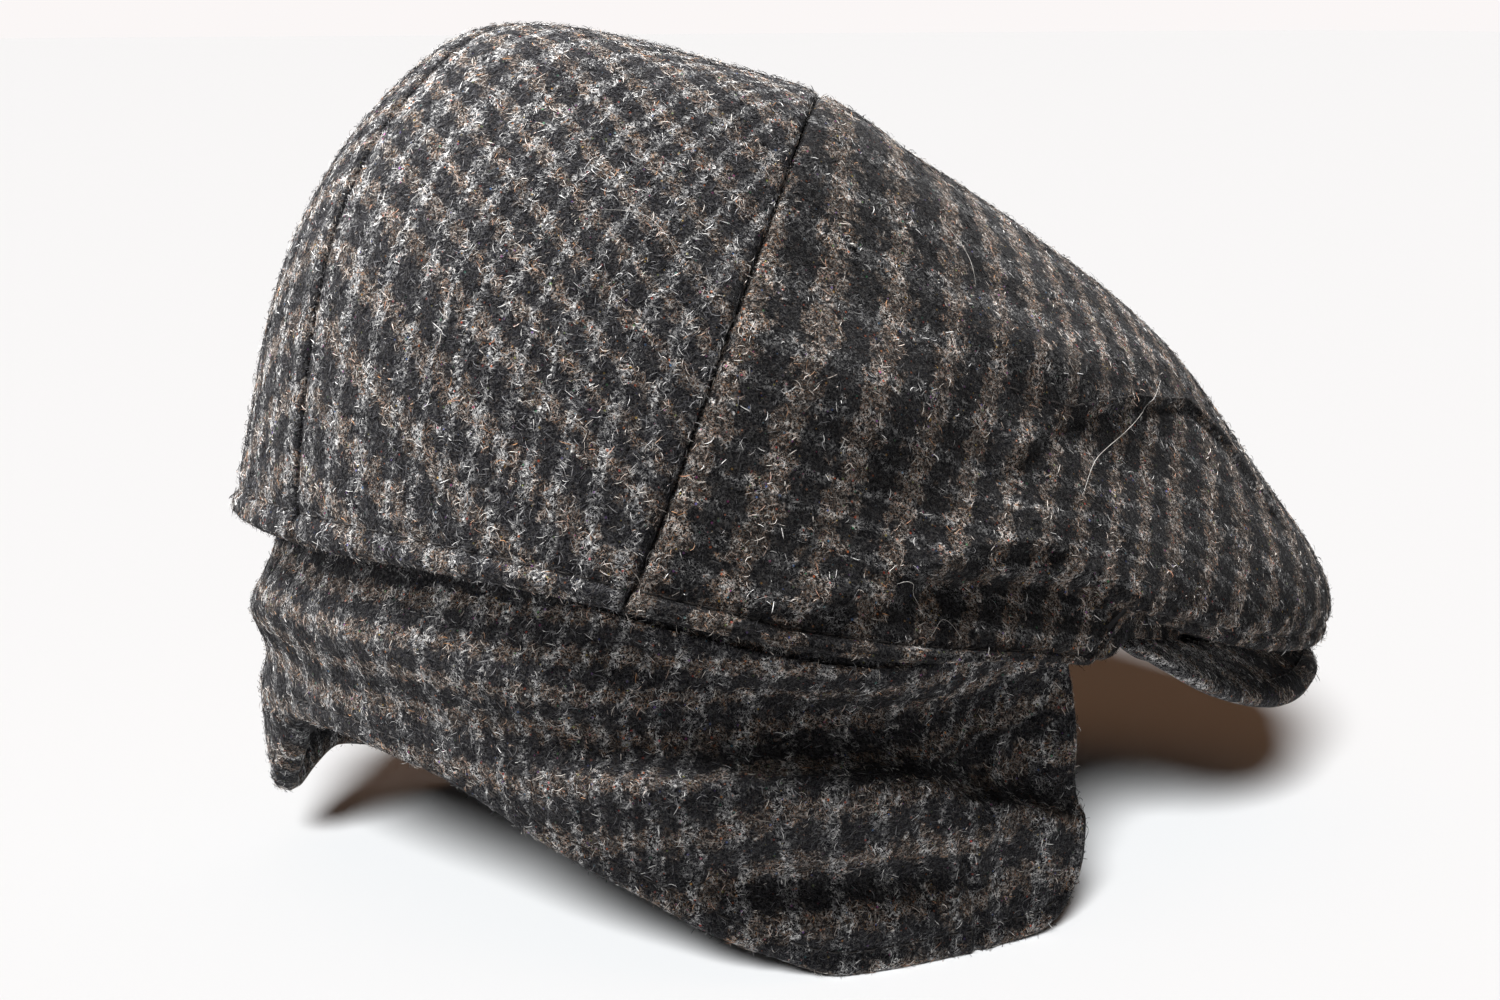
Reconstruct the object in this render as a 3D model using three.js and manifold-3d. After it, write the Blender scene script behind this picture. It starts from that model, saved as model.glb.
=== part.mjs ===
// Padded wool cap with a turned-down ear and neck flap, standing on its two ear lobes.
// Millimetres, +Z up, +X towards the peak, +Y to the wearer's left.
//
// Pieces: crown_front (with the nose that overhangs the peak), crown_rear_right,
// crown_rear_left, peak, ear_flap.  Every surface is drawn in turns about an upright
// line through the T where the three crown panels meet: turn 0 looks to the front,
// 90 to the left side and 180 to the back.

import * as THREE from 'three';
import { mergeVertices } from 'three/addons/utils/BufferGeometryUtils.js';
import Module from 'manifold-3d';

// ---- driving sizes ---------------------------------------------------------------

const CROWN_WALL = 3.5;        // felted wool, wadding and lining together
const FLAP_WALL = 5;           // the flap is padded more thickly
const FACING = { wall: 2.4, end: 74, tuck: 0.3 };  // cloth turned back under the nose, up to turn 74
const BAND = { from: 68, to: 86, low: 53, step: 2.9, over: 4, wall: 2.2 };  // hem band under the nose's ends
const SEAM_GAP = 0.3;          // between panels
const FLAP_GAP = 0.65;         // between the flap's top edge and the crown around it
const FLAP_TUCK = { crown: 0.1, flap: 0.22 };  // shares of both profiles where the flap is under the crown
const SHELL_STEP = 0.01;       // step used to find a surface's direction

const T_HEIGHT = 157.8;        // the T above the table
const T_SLOPE = -0.38;         // fall of the crown at the T, towards the front
const T_REACH = 15.6;          // reach of that first, nearly flat, stretch

const CROSS_SEAM = { top: 117, hem: 142.5 };    // turn of the seam at the T and the hem
const NOSE = { from: 88, full: 76, lift: 13.8, swell: 2, share: 0.6 };  // nose edge above the side hem

// Crown profile: a row for each turn, the [reach, height] of its five guide rings.
const CROWN_SECTIONS = [
  { turn: 0, crest: [70, 115], brow: [90, 99], shoulder: [113, 70], belly: [137, 39], hem: [129, 28] },
  { turn: 30, crest: [64, 121], brow: [82, 105], shoulder: [101, 75], belly: [121, 41], hem: [110, 25] },
  { turn: 60, crest: [46, 130], brow: [65, 111], shoulder: [80, 79], belly: [95, 46], hem: [84, 36] },
  { turn: 90, crest: [38, 150], brow: [58, 125], shoulder: [80, 87], belly: [90, 57], hem: [85, 57] },
  { turn: 120, crest: [40, 165], brow: [62, 141], shoulder: [88, 100], belly: [98, 67], hem: [103, 58] },
  { turn: 150, crest: [60, 172], brow: [79, 158], shoulder: [108, 125], belly: [120, 86], hem: [123, 78] },
  { turn: 180, crest: [75, 184], brow: [91, 176], shoulder: [120, 151], belly: [121, 92], hem: [121, 76] },
];
const RINGS = ['crest', 'brow', 'shoulder', 'belly', 'hem'];

// Soft folds in the crown's sides: centre and size in turn and share of the profile.
const CROWN_FOLDS = [
  { turn: 109, down: 0.84, wide: 8, tall: 0.045, rise: 1.8 },
  { turn: 103, down: 0.75, wide: 7, tall: 0.045, rise: -2.2 },
  { turn: 91, down: 0.78, wide: 13, tall: 0.045, rise: -1.6 },
];

// Lower edge of the ear flap, front to back, on the right lobe and on the left one.
const FLAP_EDGE = [
  { turn: 86.5, right: 10, left: 10 },
  { turn: 88, right: 4, left: 4 },
  { turn: 91, right: 0, left: 0 },
  { turn: 108, right: 0, left: 0 },
  { turn: 121, right: 0, left: 9 },
  { turn: 130, right: 5.5, left: 14.5 },
  { turn: 136, right: 10.5, left: 16.5 },
  { turn: 142, right: 16.5, left: 14.5 },
  { turn: 148, right: 21.5, left: 12.5 },
  { turn: 154, right: 26.5, left: 15.5 },
  { turn: 160, right: 31.5, left: 24 },
  { turn: 166, right: 35, left: 35 },
  { turn: 180, right: 37.5, left: 37.5 },
];
const FLAP_FRONT = 86.5;

// How far the flap stands in from the hem above it, part way down and at its edge.
const FLAP_INSET = [
  { turn: 86.5, middle: 0, edge: 0 },
  { turn: 110, middle: 0, edge: 0 },
  { turn: 135, middle: -0.5, edge: 1.5 },
  { turn: 160, middle: -1.5, edge: 6 },
  { turn: 180, middle: -1, edge: 5 },
];

// Folds of the flap: a crease from one turn and height to another, its half width and rise.
const FLAP_FOLDS = [
  { fromTurn: 130, fromHeight: 50, toTurn: 94, toHeight: 40, half: 9, rise: -7 },
  { fromTurn: 132, fromHeight: 37, toTurn: 92, toHeight: 24, half: 6, rise: 4 },
  { fromTurn: 136, fromHeight: 13, toTurn: 112, toHeight: 17, half: 5, rise: -2.5 },
  { fromTurn: 176, fromHeight: 48, toTurn: 150, toHeight: 44, half: 6, rise: -2 },
];
// The left lobe's rear corner curls outwards.
const CURL = { turn: 153, wide: 9, height: 14, tall: 16, rise: 5 };
const FOLD_FADE = 7;           // turns over which a crease dies away past its ends

// How far the temple band stands in from the crown's edge.
const BAND_INSET = [
  { turn: 68, inset: 5.2 },
  { turn: 74, inset: 3 },
  { turn: 80, inset: 1.6 },
  { turn: 86, inset: 1 },
];

// Peak: how far its rim droops, the gap under the nose, how deep it reaches in under the
// nose and out past it, and its thickness with its cloth cover.  It rises towards the
// forehead, droops in its outer half and thins to a rounded rim.
const PEAK_SECTIONS = [
  { turn: 0, drop: 2.5, gap: 0.4, depth: 36, rim: 1.5, thick: 6.5 },
  { turn: 25, drop: 3.5, gap: 0.4, depth: 34, rim: 0.5, thick: 6.5 },
  { turn: 45, drop: 7, gap: 0.5, depth: 27, rim: 0.5, thick: 6.5 },
  { turn: 60, drop: 5, gap: 2, depth: 18, rim: 1, thick: 6 },
  { turn: 70, drop: 2, gap: 4, depth: 12, rim: 0, thick: 4.5 },
  { turn: 78, drop: 0.5, gap: 5.5, depth: 8, rim: -2.5, thick: 2.8 },
];
const PEAK = { end: 78, rise: 0.2, droopFrom: 0.55, roundFrom: 0.75, rimShare: 0.7 };

const GRID = {                 // columns round and rows down each piece
  front: [44, 18],
  rear: [18, 18],
  flap: [62, 14],
  peak: [34, 7],
  facing: [34, 4],
  band: [14, 4],
};

// ---- curves ----------------------------------------------------------------------

// Value at `along` (0 to 1) on a cubic B-spline that starts and ends on its end guides.
function guidedCurve(guides, along) {
  const spans = guides.length - 3;
  const at = Math.min(Math.max(along, 0), 1) * spans;
  const span = Math.min(Math.floor(at), spans - 1);
  const knot = (index) => Math.min(Math.max(index - 3, 0), spans);
  const values = guides.slice(span, span + 4);
  for (let round = 1; round <= 3; round++) {
    for (let index = 3; index >= round; index--) {
      const low = knot(span + index);
      const high = knot(span + index + 4 - round);
      const share = (at - low) / (high - low);
      values[index] = (1 - share) * values[index - 1] + share * values[index];
    }
  }
  return values[3];
}

// Smooth value at a turn from values at equal turns 0 to 180, the same left and right.
function aroundCrown(values, turn) {
  const last = values.length - 1;
  const at = (foldedTurn(turn) / 180) * last;
  const span = Math.min(Math.floor(at), last - 1);
  const part = at - span;
  const mirrored = (index) => values[index < 0 ? -index : index > last ? 2 * last - index : index];
  return (
    ((1 - part) ** 3 * mirrored(span - 1) +
      (3 * part ** 3 - 6 * part ** 2 + 4) * mirrored(span) +
      (-3 * part ** 3 + 3 * part ** 2 + 3 * part + 1) * mirrored(span + 1) +
      part ** 3 * mirrored(span + 2)) / 6
  );
}

// Turn brought into 0 to 180, whichever side it is on.
function foldedTurn(turn) {
  return Math.abs(((((turn + 180) % 360) + 360) % 360) - 180);
}

// A table's column at a turn: a cubic through the rows that never overshoots them.
function fromTable(rows, column, turn) {
  const at = foldedTurn(turn);
  const last = rows.length - 1;
  if (at <= rows[0].turn) return rows[0][column];
  if (at >= rows[last].turn) return rows[last][column];
  const index = rows.findIndex((row) => row.turn > at) - 1;
  const slope = (k) => (rows[k + 1][column] - rows[k][column]) / (rows[k + 1].turn - rows[k].turn);
  const tangent = (k) => {
    if (k === 0 || k === last) return 0;
    const before = slope(k - 1);
    const after = slope(k);
    return before * after <= 0 ? 0 : (2 * before * after) / (before + after);
  };
  const step = rows[index + 1].turn - rows[index].turn;
  const x = (at - rows[index].turn) / step;
  return (
    (1 + 2 * x) * (1 - x) ** 2 * rows[index][column] +
    x * (1 - x) ** 2 * step * tangent(index) +
    x * x * (3 - 2 * x) * rows[index + 1][column] +
    x * x * (x - 1) * step * tangent(index + 1)
  );
}

function smoothStep(from, to, value) {
  const share = Math.min(Math.max((value - from) / (to - from), 0), 1);
  return share * share * (3 - 2 * share);
}

function bell(offset, half) {
  return Math.exp(-((offset / half) ** 2));
}

function inPlan(turn, reach, height) {
  const angle = THREE.MathUtils.degToRad(turn);
  return new THREE.Vector3(reach * Math.cos(angle), reach * Math.sin(angle), height);
}

// ---- crown -----------------------------------------------------------------------

const CROWN_TABLE = Object.fromEntries(RINGS.map((ring) => [ring, {
  reach: CROWN_SECTIONS.map((row) => row[ring][0]),
  height: CROWN_SECTIONS.map((row) => row[ring][1]),
}]));

// Share of the nose at a turn: 1 over the peak, 0 at the sides and back.
function noseShare(turn) {
  return 1 - smoothStep(NOSE.full, NOSE.from, foldedTurn(turn));
}

// The crown's outer cloth before its folds; `down` runs from 0 at the T to 1 at the hem.
function smoothCrown(turn, down) {
  const reach = [0, T_REACH];
  const height = [T_HEIGHT, T_HEIGHT + T_SLOPE * T_REACH * Math.cos(THREE.MathUtils.degToRad(turn))];
  for (const ring of RINGS) {
    reach.push(aroundCrown(CROWN_TABLE[ring].reach, turn));
    height.push(aroundCrown(CROWN_TABLE[ring].height, turn));
  }
  const hem = reach.length - 1;
  reach[hem] += NOSE.swell * noseShare(turn);
  height[hem] += NOSE.lift * noseShare(turn);
  height[hem - 1] += NOSE.share * NOSE.lift * noseShare(turn);
  return inPlan(turn, guidedCurve(reach, down), guidedCurve(height, down));
}

// Outward direction of a surface given as a function of turn and down.
function outward(surface, turn, down) {
  const low = Math.max(down - SHELL_STEP, 0.002);
  const high = Math.min(down + SHELL_STEP, 1);
  const round = surface(turn + 1, down).sub(surface(turn - 1, down));
  const fall = surface(turn, high).sub(surface(turn, low));
  return fall.cross(round).normalize();
}

function crownFold(turn, down) {
  let rise = 0;
  for (const fold of CROWN_FOLDS) {
    rise += fold.rise * bell(foldedTurn(turn) - fold.turn, fold.wide) * bell(down - fold.down, fold.tall);
  }
  return rise;
}

// A point `inside` millimetres under the crown's outer cloth.
function crownPoint(turn, down, inside) {
  const steady = Math.max(down, SHELL_STEP);
  const direction = down < SHELL_STEP ? new THREE.Vector3(0, 0, 1) : outward(smoothCrown, turn, steady);
  return smoothCrown(turn, down).addScaledVector(direction, crownFold(turn, down) - inside);
}

// Turn of the cross seam on its way down.
function crossSeam(down) {
  return CROSS_SEAM.top + (CROSS_SEAM.hem - CROSS_SEAM.top) * down;
}

// ---- solids ----------------------------------------------------------------------

// A closed wall from two facing grids of points: outer and inner, `side` 0 or 1.
function wall([columns, rows], pointAt) {
  const positions = [];
  const index = [];
  const layer = (columns + 1) * (rows + 1);
  for (let side = 0; side < 2; side++) {
    for (let column = 0; column <= columns; column++) {
      for (let row = 0; row <= rows; row++) {
        positions.push(...pointAt(column / columns, row / rows, side).toArray());
      }
    }
  }
  const at = (column, row, side) => side * layer + column * (rows + 1) + row;
  const quad = (a, b, c, d) => index.push(a, b, c, a, c, d);
  for (let column = 0; column < columns; column++) {
    for (let row = 0; row < rows; row++) {
      quad(at(column, row, 0), at(column, row + 1, 0), at(column + 1, row + 1, 0), at(column + 1, row, 0));
      quad(at(column, row, 1), at(column + 1, row, 1), at(column + 1, row + 1, 1), at(column, row + 1, 1));
    }
    quad(at(column, 0, 0), at(column + 1, 0, 0), at(column + 1, 0, 1), at(column, 0, 1));
    quad(at(column, rows, 0), at(column, rows, 1), at(column + 1, rows, 1), at(column + 1, rows, 0));
  }
  for (let row = 0; row < rows; row++) {
    quad(at(0, row, 0), at(0, row, 1), at(0, row + 1, 1), at(0, row + 1, 0));
    quad(at(columns, row, 0), at(columns, row + 1, 0), at(columns, row + 1, 1), at(columns, row, 1));
  }
  const geometry = new THREE.BufferGeometry();
  geometry.setAttribute('position', new THREE.Float32BufferAttribute(positions, 3));
  geometry.setIndex(index);
  return withoutSlivers(mergeVertices(geometry, 1e-4));
}

// Drops the triangles that a grid squeezes to nothing where it runs to a point.
function withoutSlivers(geometry) {
  const corners = geometry.index.array;
  const kept = [];
  for (let start = 0; start < corners.length; start += 3) {
    const [a, b, c] = corners.slice(start, start + 3);
    if (a !== b && b !== c && c !== a) kept.push(a, b, c);
  }
  geometry.setIndex(kept);
  return geometry;
}

const wasm = await Module();
wasm.setup();

function toManifold(geometry) {
  return new wasm.Manifold(new wasm.Mesh({
    numProp: 3,
    vertProperties: new Float32Array(geometry.attributes.position.array),
    triVerts: new Uint32Array(geometry.index.array),
  }));
}

function joined(...shells) {
  const mesh = shells.map(toManifold).reduce((whole, shell) => whole.add(shell)).getMesh();
  const geometry = new THREE.BufferGeometry();
  geometry.setAttribute('position', new THREE.BufferAttribute(mesh.vertProperties, 3));
  geometry.setIndex(new THREE.BufferAttribute(mesh.triVerts, 1));
  return geometry;
}

// ---- pieces ----------------------------------------------------------------------

// The front panel, from one cross seam over the front to the other.
function crownFrontWall() {
  return wall(GRID.front, (round, down, side) =>
    crownPoint((2 * round - 1) * crossSeam(down), down, side * CROWN_WALL));
}

// The strip of cloth under the nose, turned back from its edge to the forehead.
function noseFacing() {
  return wall(GRID.facing, (round, back, side) => {
    const turn = (2 * round - 1) * FACING.end;
    const edge = smoothCrown(turn, 1);
    const reach = Math.hypot(edge.x, edge.y) - CROWN_WALL / 2;
    const length = back * (fromTable(PEAK_SECTIONS, 'depth', turn) - CROWN_WALL);
    const height = edge.z + FACING.tuck + PEAK.rise * length + side * FACING.wall;
    return inPlan(turn, reach - length, height);
  });
}

// The side hem's band, which runs on behind the nose's end to the peak; `hand` is 1 left, -1 right.
function templeBand(hand) {
  return wall(GRID.band, (round, down, side) => {
    const turn = BAND.from + (BAND.to - BAND.from) * (hand > 0 ? round : 1 - round);
    const edge = smoothCrown(hand * turn, 1);
    const low = BAND.low + BAND.step * (1 - smoothStep(79, 85, turn));
    const inset = fromTable(BAND_INSET, 'inset', turn);
    const height = low + (edge.z + BAND.over - low) * (1 - down);
    return inPlan(hand * turn, Math.hypot(edge.x, edge.y) - inset - side * BAND.wall, height);
  });
}

// A rear panel, from the cross seam to the centre-back seam; `hand` is 1 left, -1 right.
function crownRear(hand) {
  return wall(GRID.rear, (round, down, side) => {
    const share = hand > 0 ? round : 1 - round;
    const turn = crossSeam(down) + share * (180 - crossSeam(down));
    return crownPoint(hand * turn, down, side * CROWN_WALL);
  });
}

// The peak: a stiff slab that slips under the nose and droops at both sides.
function peakSlab() {
  return wall(GRID.peak, (round, out, side) => {
    const turn = (2 * round - 1) * PEAK.end;
    const edge = smoothCrown(turn, 1);
    const nose = Math.hypot(edge.x, edge.y);
    const rim = nose + fromTable(PEAK_SECTIONS, 'rim', turn);
    const inner = nose - fromTable(PEAK_SECTIONS, 'depth', turn);
    const reach = inner + (rim - inner) * out;
    const drop = fromTable(PEAK_SECTIONS, 'drop', turn) * smoothStep(PEAK.droopFrom, 1, out);
    const rise = PEAK.rise * (nose - CROWN_WALL / 2 - reach);
    const top = edge.z - fromTable(PEAK_SECTIONS, 'gap', turn) - drop + rise;
    const rounding = (1 - PEAK.rimShare) * smoothStep(PEAK.roundFrom, 1, out);
    const thick = fromTable(PEAK_SECTIONS, 'thick', turn) * (1 - rounding);
    return inPlan(turn, reach, top - side * thick);
  });
}

// The flap's outer cloth: up inside the crown's hem first, then down to the lower edge.
function flapSurface(turn, down) {
  const hem = crownPoint(turn, 1, CROWN_WALL + FLAP_GAP);
  if (down < FLAP_TUCK.flap) {
    const hidden = FLAP_TUCK.crown * (1 - down / FLAP_TUCK.flap);
    return crownPoint(turn, 1 - hidden, CROWN_WALL + FLAP_GAP);
  }
  const fall = (down - FLAP_TUCK.flap) / (1 - FLAP_TUCK.flap);
  const edge = fromTable(FLAP_EDGE, turn > 180 ? 'right' : 'left', turn);
  const height = hem.z + (edge - hem.z) * fall;
  const middle = fromTable(FLAP_INSET, 'middle', turn) * 4 * fall * (1 - fall);
  const inset = middle + fromTable(FLAP_INSET, 'edge', turn) * fall * fall;
  const loose = smoothStep(0, 0.2, fall);
  const curl = turn < 180 ? CURL.rise * bell(turn - CURL.turn, CURL.wide) * bell(height - CURL.height, CURL.tall) : 0;
  const reach = Math.hypot(hem.x, hem.y) - inset + loose * (flapFold(turn, height) + curl);
  return inPlan(turn, reach, height);
}

// Rise of the flap's creases at a turn and height.
function flapFold(turn, height) {
  const at = foldedTurn(turn);
  let rise = 0;
  for (const fold of FLAP_FOLDS) {
    const share = (at - fold.fromTurn) / (fold.toTurn - fold.fromTurn);
    const line = fold.fromHeight + (fold.toHeight - fold.fromHeight) * share;
    const past = Math.max(at - fold.fromTurn, fold.toTurn - at, 0);
    rise += fold.rise * bell(height - line, fold.half) * bell(past, FOLD_FADE);
  }
  return rise;
}

// The ear and neck flap: one padded band with a lobe at each ear.
function earFlap() {
  return wall(GRID.flap, (round, down, side) => {
    const turn = FLAP_FRONT + round * (360 - 2 * FLAP_FRONT);
    const outer = flapSurface(turn, down);
    if (side === 0) return outer;
    const reach = Math.hypot(outer.x, outer.y) - FLAP_WALL;
    return inPlan(turn, reach, outer.z);
  });
}

// ---- assembly --------------------------------------------------------------------

const WOOL = { crown: 0x4b4644, peak: 0x4a4543, flap: 0x484240 };
const cap = new THREE.Group();

function addPiece(name, geometry, color, x, y) {
  geometry.computeVertexNormals();
  const material = new THREE.MeshStandardMaterial({ color, roughness: 0.95, metalness: 0 });
  const piece = new THREE.Mesh(geometry, material);
  piece.name = name;
  piece.position.set(x, y, 0);
  cap.add(piece);
}

addPiece('crown_front', joined(crownFrontWall(), noseFacing(), templeBand(1), templeBand(-1)), WOOL.crown, 1.5 * SEAM_GAP, 0);
addPiece('crown_rear_right', crownRear(-1), WOOL.crown, 0, -SEAM_GAP / 2);
addPiece('crown_rear_left', crownRear(1), WOOL.crown, 0, SEAM_GAP / 2);
addPiece('peak', peakSlab(), WOOL.peak, 1.5 * SEAM_GAP, 0);
addPiece('ear_flap', earFlap(), WOOL.flap, 0, 0);

// The origin is on the table, under the middle of the cap.
const box = new THREE.Box3().setFromObject(cap, true);
cap.position.set(-(box.min.x + box.max.x) / 2, 0, -box.min.z);

export default cap;
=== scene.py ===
# Padded wool cap with its ear and neck flap turned down, standing on its two ear lobes.
#
# Shapes are worked out in millimetres in the cap's own frame and written in metres.
# Everything is drawn in turns about an upright line through the T where the three
# crown panels meet: turn 0 looks to the front, 90 to the left side, 180 to the back.

import math
from types import SimpleNamespace as Sizes

import bmesh
import bpy
import numpy as np
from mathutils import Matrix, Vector


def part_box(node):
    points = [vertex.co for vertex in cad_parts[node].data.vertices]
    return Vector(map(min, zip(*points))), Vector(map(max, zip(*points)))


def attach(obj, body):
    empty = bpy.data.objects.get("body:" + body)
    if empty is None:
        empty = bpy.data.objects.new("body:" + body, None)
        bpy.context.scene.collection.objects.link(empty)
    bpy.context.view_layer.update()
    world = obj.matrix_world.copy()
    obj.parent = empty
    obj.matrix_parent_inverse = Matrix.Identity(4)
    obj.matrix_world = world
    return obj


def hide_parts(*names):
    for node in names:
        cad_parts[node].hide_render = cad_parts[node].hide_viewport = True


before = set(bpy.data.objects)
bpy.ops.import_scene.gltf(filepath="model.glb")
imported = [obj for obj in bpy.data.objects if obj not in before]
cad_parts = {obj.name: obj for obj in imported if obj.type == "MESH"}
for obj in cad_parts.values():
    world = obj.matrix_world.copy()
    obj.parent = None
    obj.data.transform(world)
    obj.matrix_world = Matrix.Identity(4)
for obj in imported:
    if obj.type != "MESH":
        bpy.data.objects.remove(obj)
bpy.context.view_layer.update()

MM = 0.001

# ---- driving sizes ----

# Middle of the T across the cap, from the rear panels that end there.
T_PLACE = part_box("crown_rear_right")[1].x / MM

CROWN_WALL = 3.5         # wool, wadding and lining together
FLAP_WALL = 5.0
FLAP_GAP = 0.65          # between the flap's top and the crown around it
SEAM_DEPTH = 1.8         # how deep a seam lies in the padded cloth
SEAM_ROLL = 2.4          # width of the cloth's roll into a seam
HEM_DEPTH = 0.9          # how far the crown's folded hem rounds back
HEM_ROLL = 1.3
HEM_STEP = 5.4           # how much further in the flap starts behind the hem
CLOTH = 1.0              # least thickness under a deep fold
HEM_BAND = 5.2           # from the hem up to its row of stitches
HEM_PUFF = Sizes(rise=0.5, fade=1.5)                # padding between hem and stitches
HEM_PULL = Sizes(crown=0.8, flap=0.45, half=0.9)    # how the stitches draw the cloth in
SEAM_SLANT = Sizes(front=0.85, rear=0.9)    # distance square to a seam, as a share of that around
COLUMN_CROWD = 0.6       # how much closer the front panel's columns stand at its sides
NORMAL_STEP = Sizes(down=0.01, turn=1.0)    # steps over which the cloth's slope is taken
# Strip under the nose: wall, the turn it ends at, step up into the nose, depth, edge roll.
FACING = Sizes(wall=2.4, end=74.0, tuck=0.3, deep=20.0, roll=1.2)
# Band at the temples: turns it runs between, lowest height, overlap, wall, depth, edge roll.
BAND = Sizes(start=58.0, end=88.0, low=53.2, over=4.0, wall=2.2, deep=12.0, roll=1.6)
# Turns over which the band drops from the peak, and how far it stands clear of the peak.
BAND_STEP = Sizes(start=79.0, end=85.0, clear=0.2)

# The T: its height, how the cloth slopes there towards the front, and how far that reaches.
T_HEIGHT = 157.8
T_SLOPE = -0.38
T_REACH = 15.6
# Turn of the seam across the crown, at its top and at the hem.
CROSS_SEAM = Sizes(top=117.0, hem=142.5)
# The nose over the peak: turns where it ends and is full, its lift above the side hem, its
# swelling outwards, and the share of the lift that the belly above it takes.
NOSE = Sizes(end=88.0, full=76.0, lift=13.8, swell=2.0, share=0.6)

RINGS = ("crest", "brow", "shoulder", "belly", "hem")
# Crown profile: turn, then (reach, height) of its five guide rings.
CROWN_SECTIONS = [
    (0, (70, 115), (90, 99), (113, 70), (137, 39), (129, 28)),
    (30, (64, 121), (82, 105), (101, 75), (121, 41), (110, 25)),
    (60, (46, 130), (65, 111), (80, 79), (95, 46), (84, 36)),
    (90, (38, 150), (58, 125), (80, 87), (90, 57), (85, 57)),
    (120, (40, 165), (62, 141), (88, 100), (98, 67), (103, 58)),
    (150, (60, 172), (79, 158), (108, 125), (120, 86), (123, 78)),
    (180, (75, 184), (91, 176), (120, 151), (121, 92), (121, 76)),
]

# Lower edge of the flap: turn, height on the right lobe, height on the left lobe.
FLAP_EDGE = [
    (86.5, 15, 15), (88, 9, 9), (91, 3, 3), (95, 0.4, 0.4), (99, 0, 0), (108, 0, 0), (121, 0, 9),
    (130, 5.5, 14.5), (136, 10.5, 16.5), (142, 16.5, 14.5), (148, 21.5, 12.5), (154, 26.5, 15.5),
    (160, 31.5, 24), (166, 35, 35), (180, 37.5, 37.5),
]
FLAP_FRONT = 86.5
# Shares of the crown's profile and of the flap's own that overlap, and how deep the overlap is.
FLAP_TUCK = Sizes(crown=0.1, flap=0.22, deep=30.0)
FLAP_ROLL = 2.5          # width of the cloth's roll round the flap's edges
# Shares of the flap's fall over which its folds begin and it comes out from behind the hem.
FLAP_START = Sizes(folds=0.2, step=0.42)
# The folds die down towards the flap's front ends: least share, and the distances between.
FLAP_CALM = Sizes(least=0.35, start=2.0, end=14.0)
# How far the flap stands in from the hem: turn, part way down, at its edge.
FLAP_INSET = [(86.5, 0, 0), (110, 0, 0), (135, -0.5, 1.5), (160, -1.5, 6), (180, -1, 5)]

# The left lobe's rear corner curls outwards.
CURL = Sizes(turn=153.0, wide=9.0, height=14.0, tall=16.0, rise=2.5)

# How far the band under the nose's ends stands in from the crown's edge: turn, inset.
BAND_INSET = [(58, 9.0), (68, 5.2), (74, 3.0), (80, 1.8), (86, 1.6), (92, 1.6)]

# Peak: turn, droop, gap under the nose, depth inwards, how far out its rim is, thickness.
PEAK_SECTIONS = [
    (0, 2.5, 0.4, 36, 1.5, 6.5), (25, 3.5, 0.4, 34, 0.5, 6.5), (45, 7, 0.5, 27, 0.5, 6.5),
    (60, 5, 2, 18, 1, 6), (70, 2, 4, 12, 0, 4.5), (78, 0.5, 5.5, 8, -2.5, 2.8),
]
PEAK = Sizes(end=78.0, rise=0.2, droop_from=0.55, round_from=0.75, rim_share=0.7)
PEAK_ROLL = Sizes(rim=3.0, ends=4.0, inner=2.0)    # width of the roll round each edge

# The cloth's graded check: brown bands run one way and light rows the other, and both change
# between close and wide spacing. Each is given as the place of its first stripe and runs of
# a spacing in millimetres and how many; strength is how strongly the light rows show, and
# below full strength also how much painted shade darkens the part's ground.
CHECKS = {
    "rear": {
        "bands": (-9.5, [(9.1, 8), (8.1, 8), (14.4, 8)]),
        "rows": (-13.0, [(8.5, 5), (5.8, 6), (7.4, 12)]), "strength": 1.0,
    },
    "front": {
        "bands": (-26.0, [(14.0, 5), (11.5, 1), (9.8, 6), (14.0, 12)]),
        "rows": (-18.6, [(13.6, 9), (9.5, 1), (6.2, 6), (12.5, 6)]), "strength": 0.62,
    },
    "flap": {
        "bands": (-15.0, [(7.8, 6), (10.6, 1), (12.5, 8)]),
        "rows": (-11.8, [(11.8, 4), (9.0, 1), (5.5, 7), (7.0, 1), (10.2, 4), (9.0, 1), (5.7, 3), (11.5, 4)]),
        "strength": 0.9,
    },
    "peak": {"bands": (-6.0, [(19.0, 30)]), "rows": (-16.0, [(34.0, 40)]), "strength": 0.9},
}
CHECKS["band"] = {**CHECKS["front"], "strength": 0.55}
# Front: where bands from both seams blend, how they spread towards the top, how rows climb.
FRONT_CHECK = Sizes(blend=20.0, spread=30.0, top=0.62, climb=0.1, until=40.0, level=24.0)
# Rear: how the bands lean, between which distances from the T, and where they stay level.
REAR_CHECK = Sizes(lean=0.3, start=20.0, end=110.0, level=26.0)
# Flap: slope of the bands near the middle of the back and past the bend.
FLAP_CHECK = Sizes(near=0.08, bend=50.0, far=0.19)

# ---- camera ----

VIEW = Sizes(
    target=(-5.2, 18.1, 72.2), distance=690.0, azimuth=-34.69, elevation=8.88,
    lens=76.08, sensor=36.0, near=0.01, far=50.0,
)


def in_scene(name, data):
    """A new object of the scene that carries the given mesh, light or camera."""
    made = bpy.data.objects.new(name, data)
    bpy.context.collection.objects.link(made)
    return made


def view_direction():
    """From the target to the camera."""
    turn = math.radians(VIEW.azimuth)
    lift = math.radians(VIEW.elevation)
    return Vector((math.sin(turn) * math.cos(lift), -math.cos(turn) * math.cos(lift), math.sin(lift)))


def add_camera():
    data = bpy.data.cameras.new("camera")
    data.lens = VIEW.lens
    data.sensor_width = VIEW.sensor
    data.dof.use_dof = False
    data.clip_start = VIEW.near
    data.clip_end = VIEW.far
    camera = in_scene("camera", data)
    camera.location = (Vector(VIEW.target) + view_direction() * VIEW.distance) * MM
    camera.rotation_euler = view_direction().to_track_quat("Z", "Y").to_euler()
    bpy.context.scene.camera = camera


add_camera()

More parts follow.
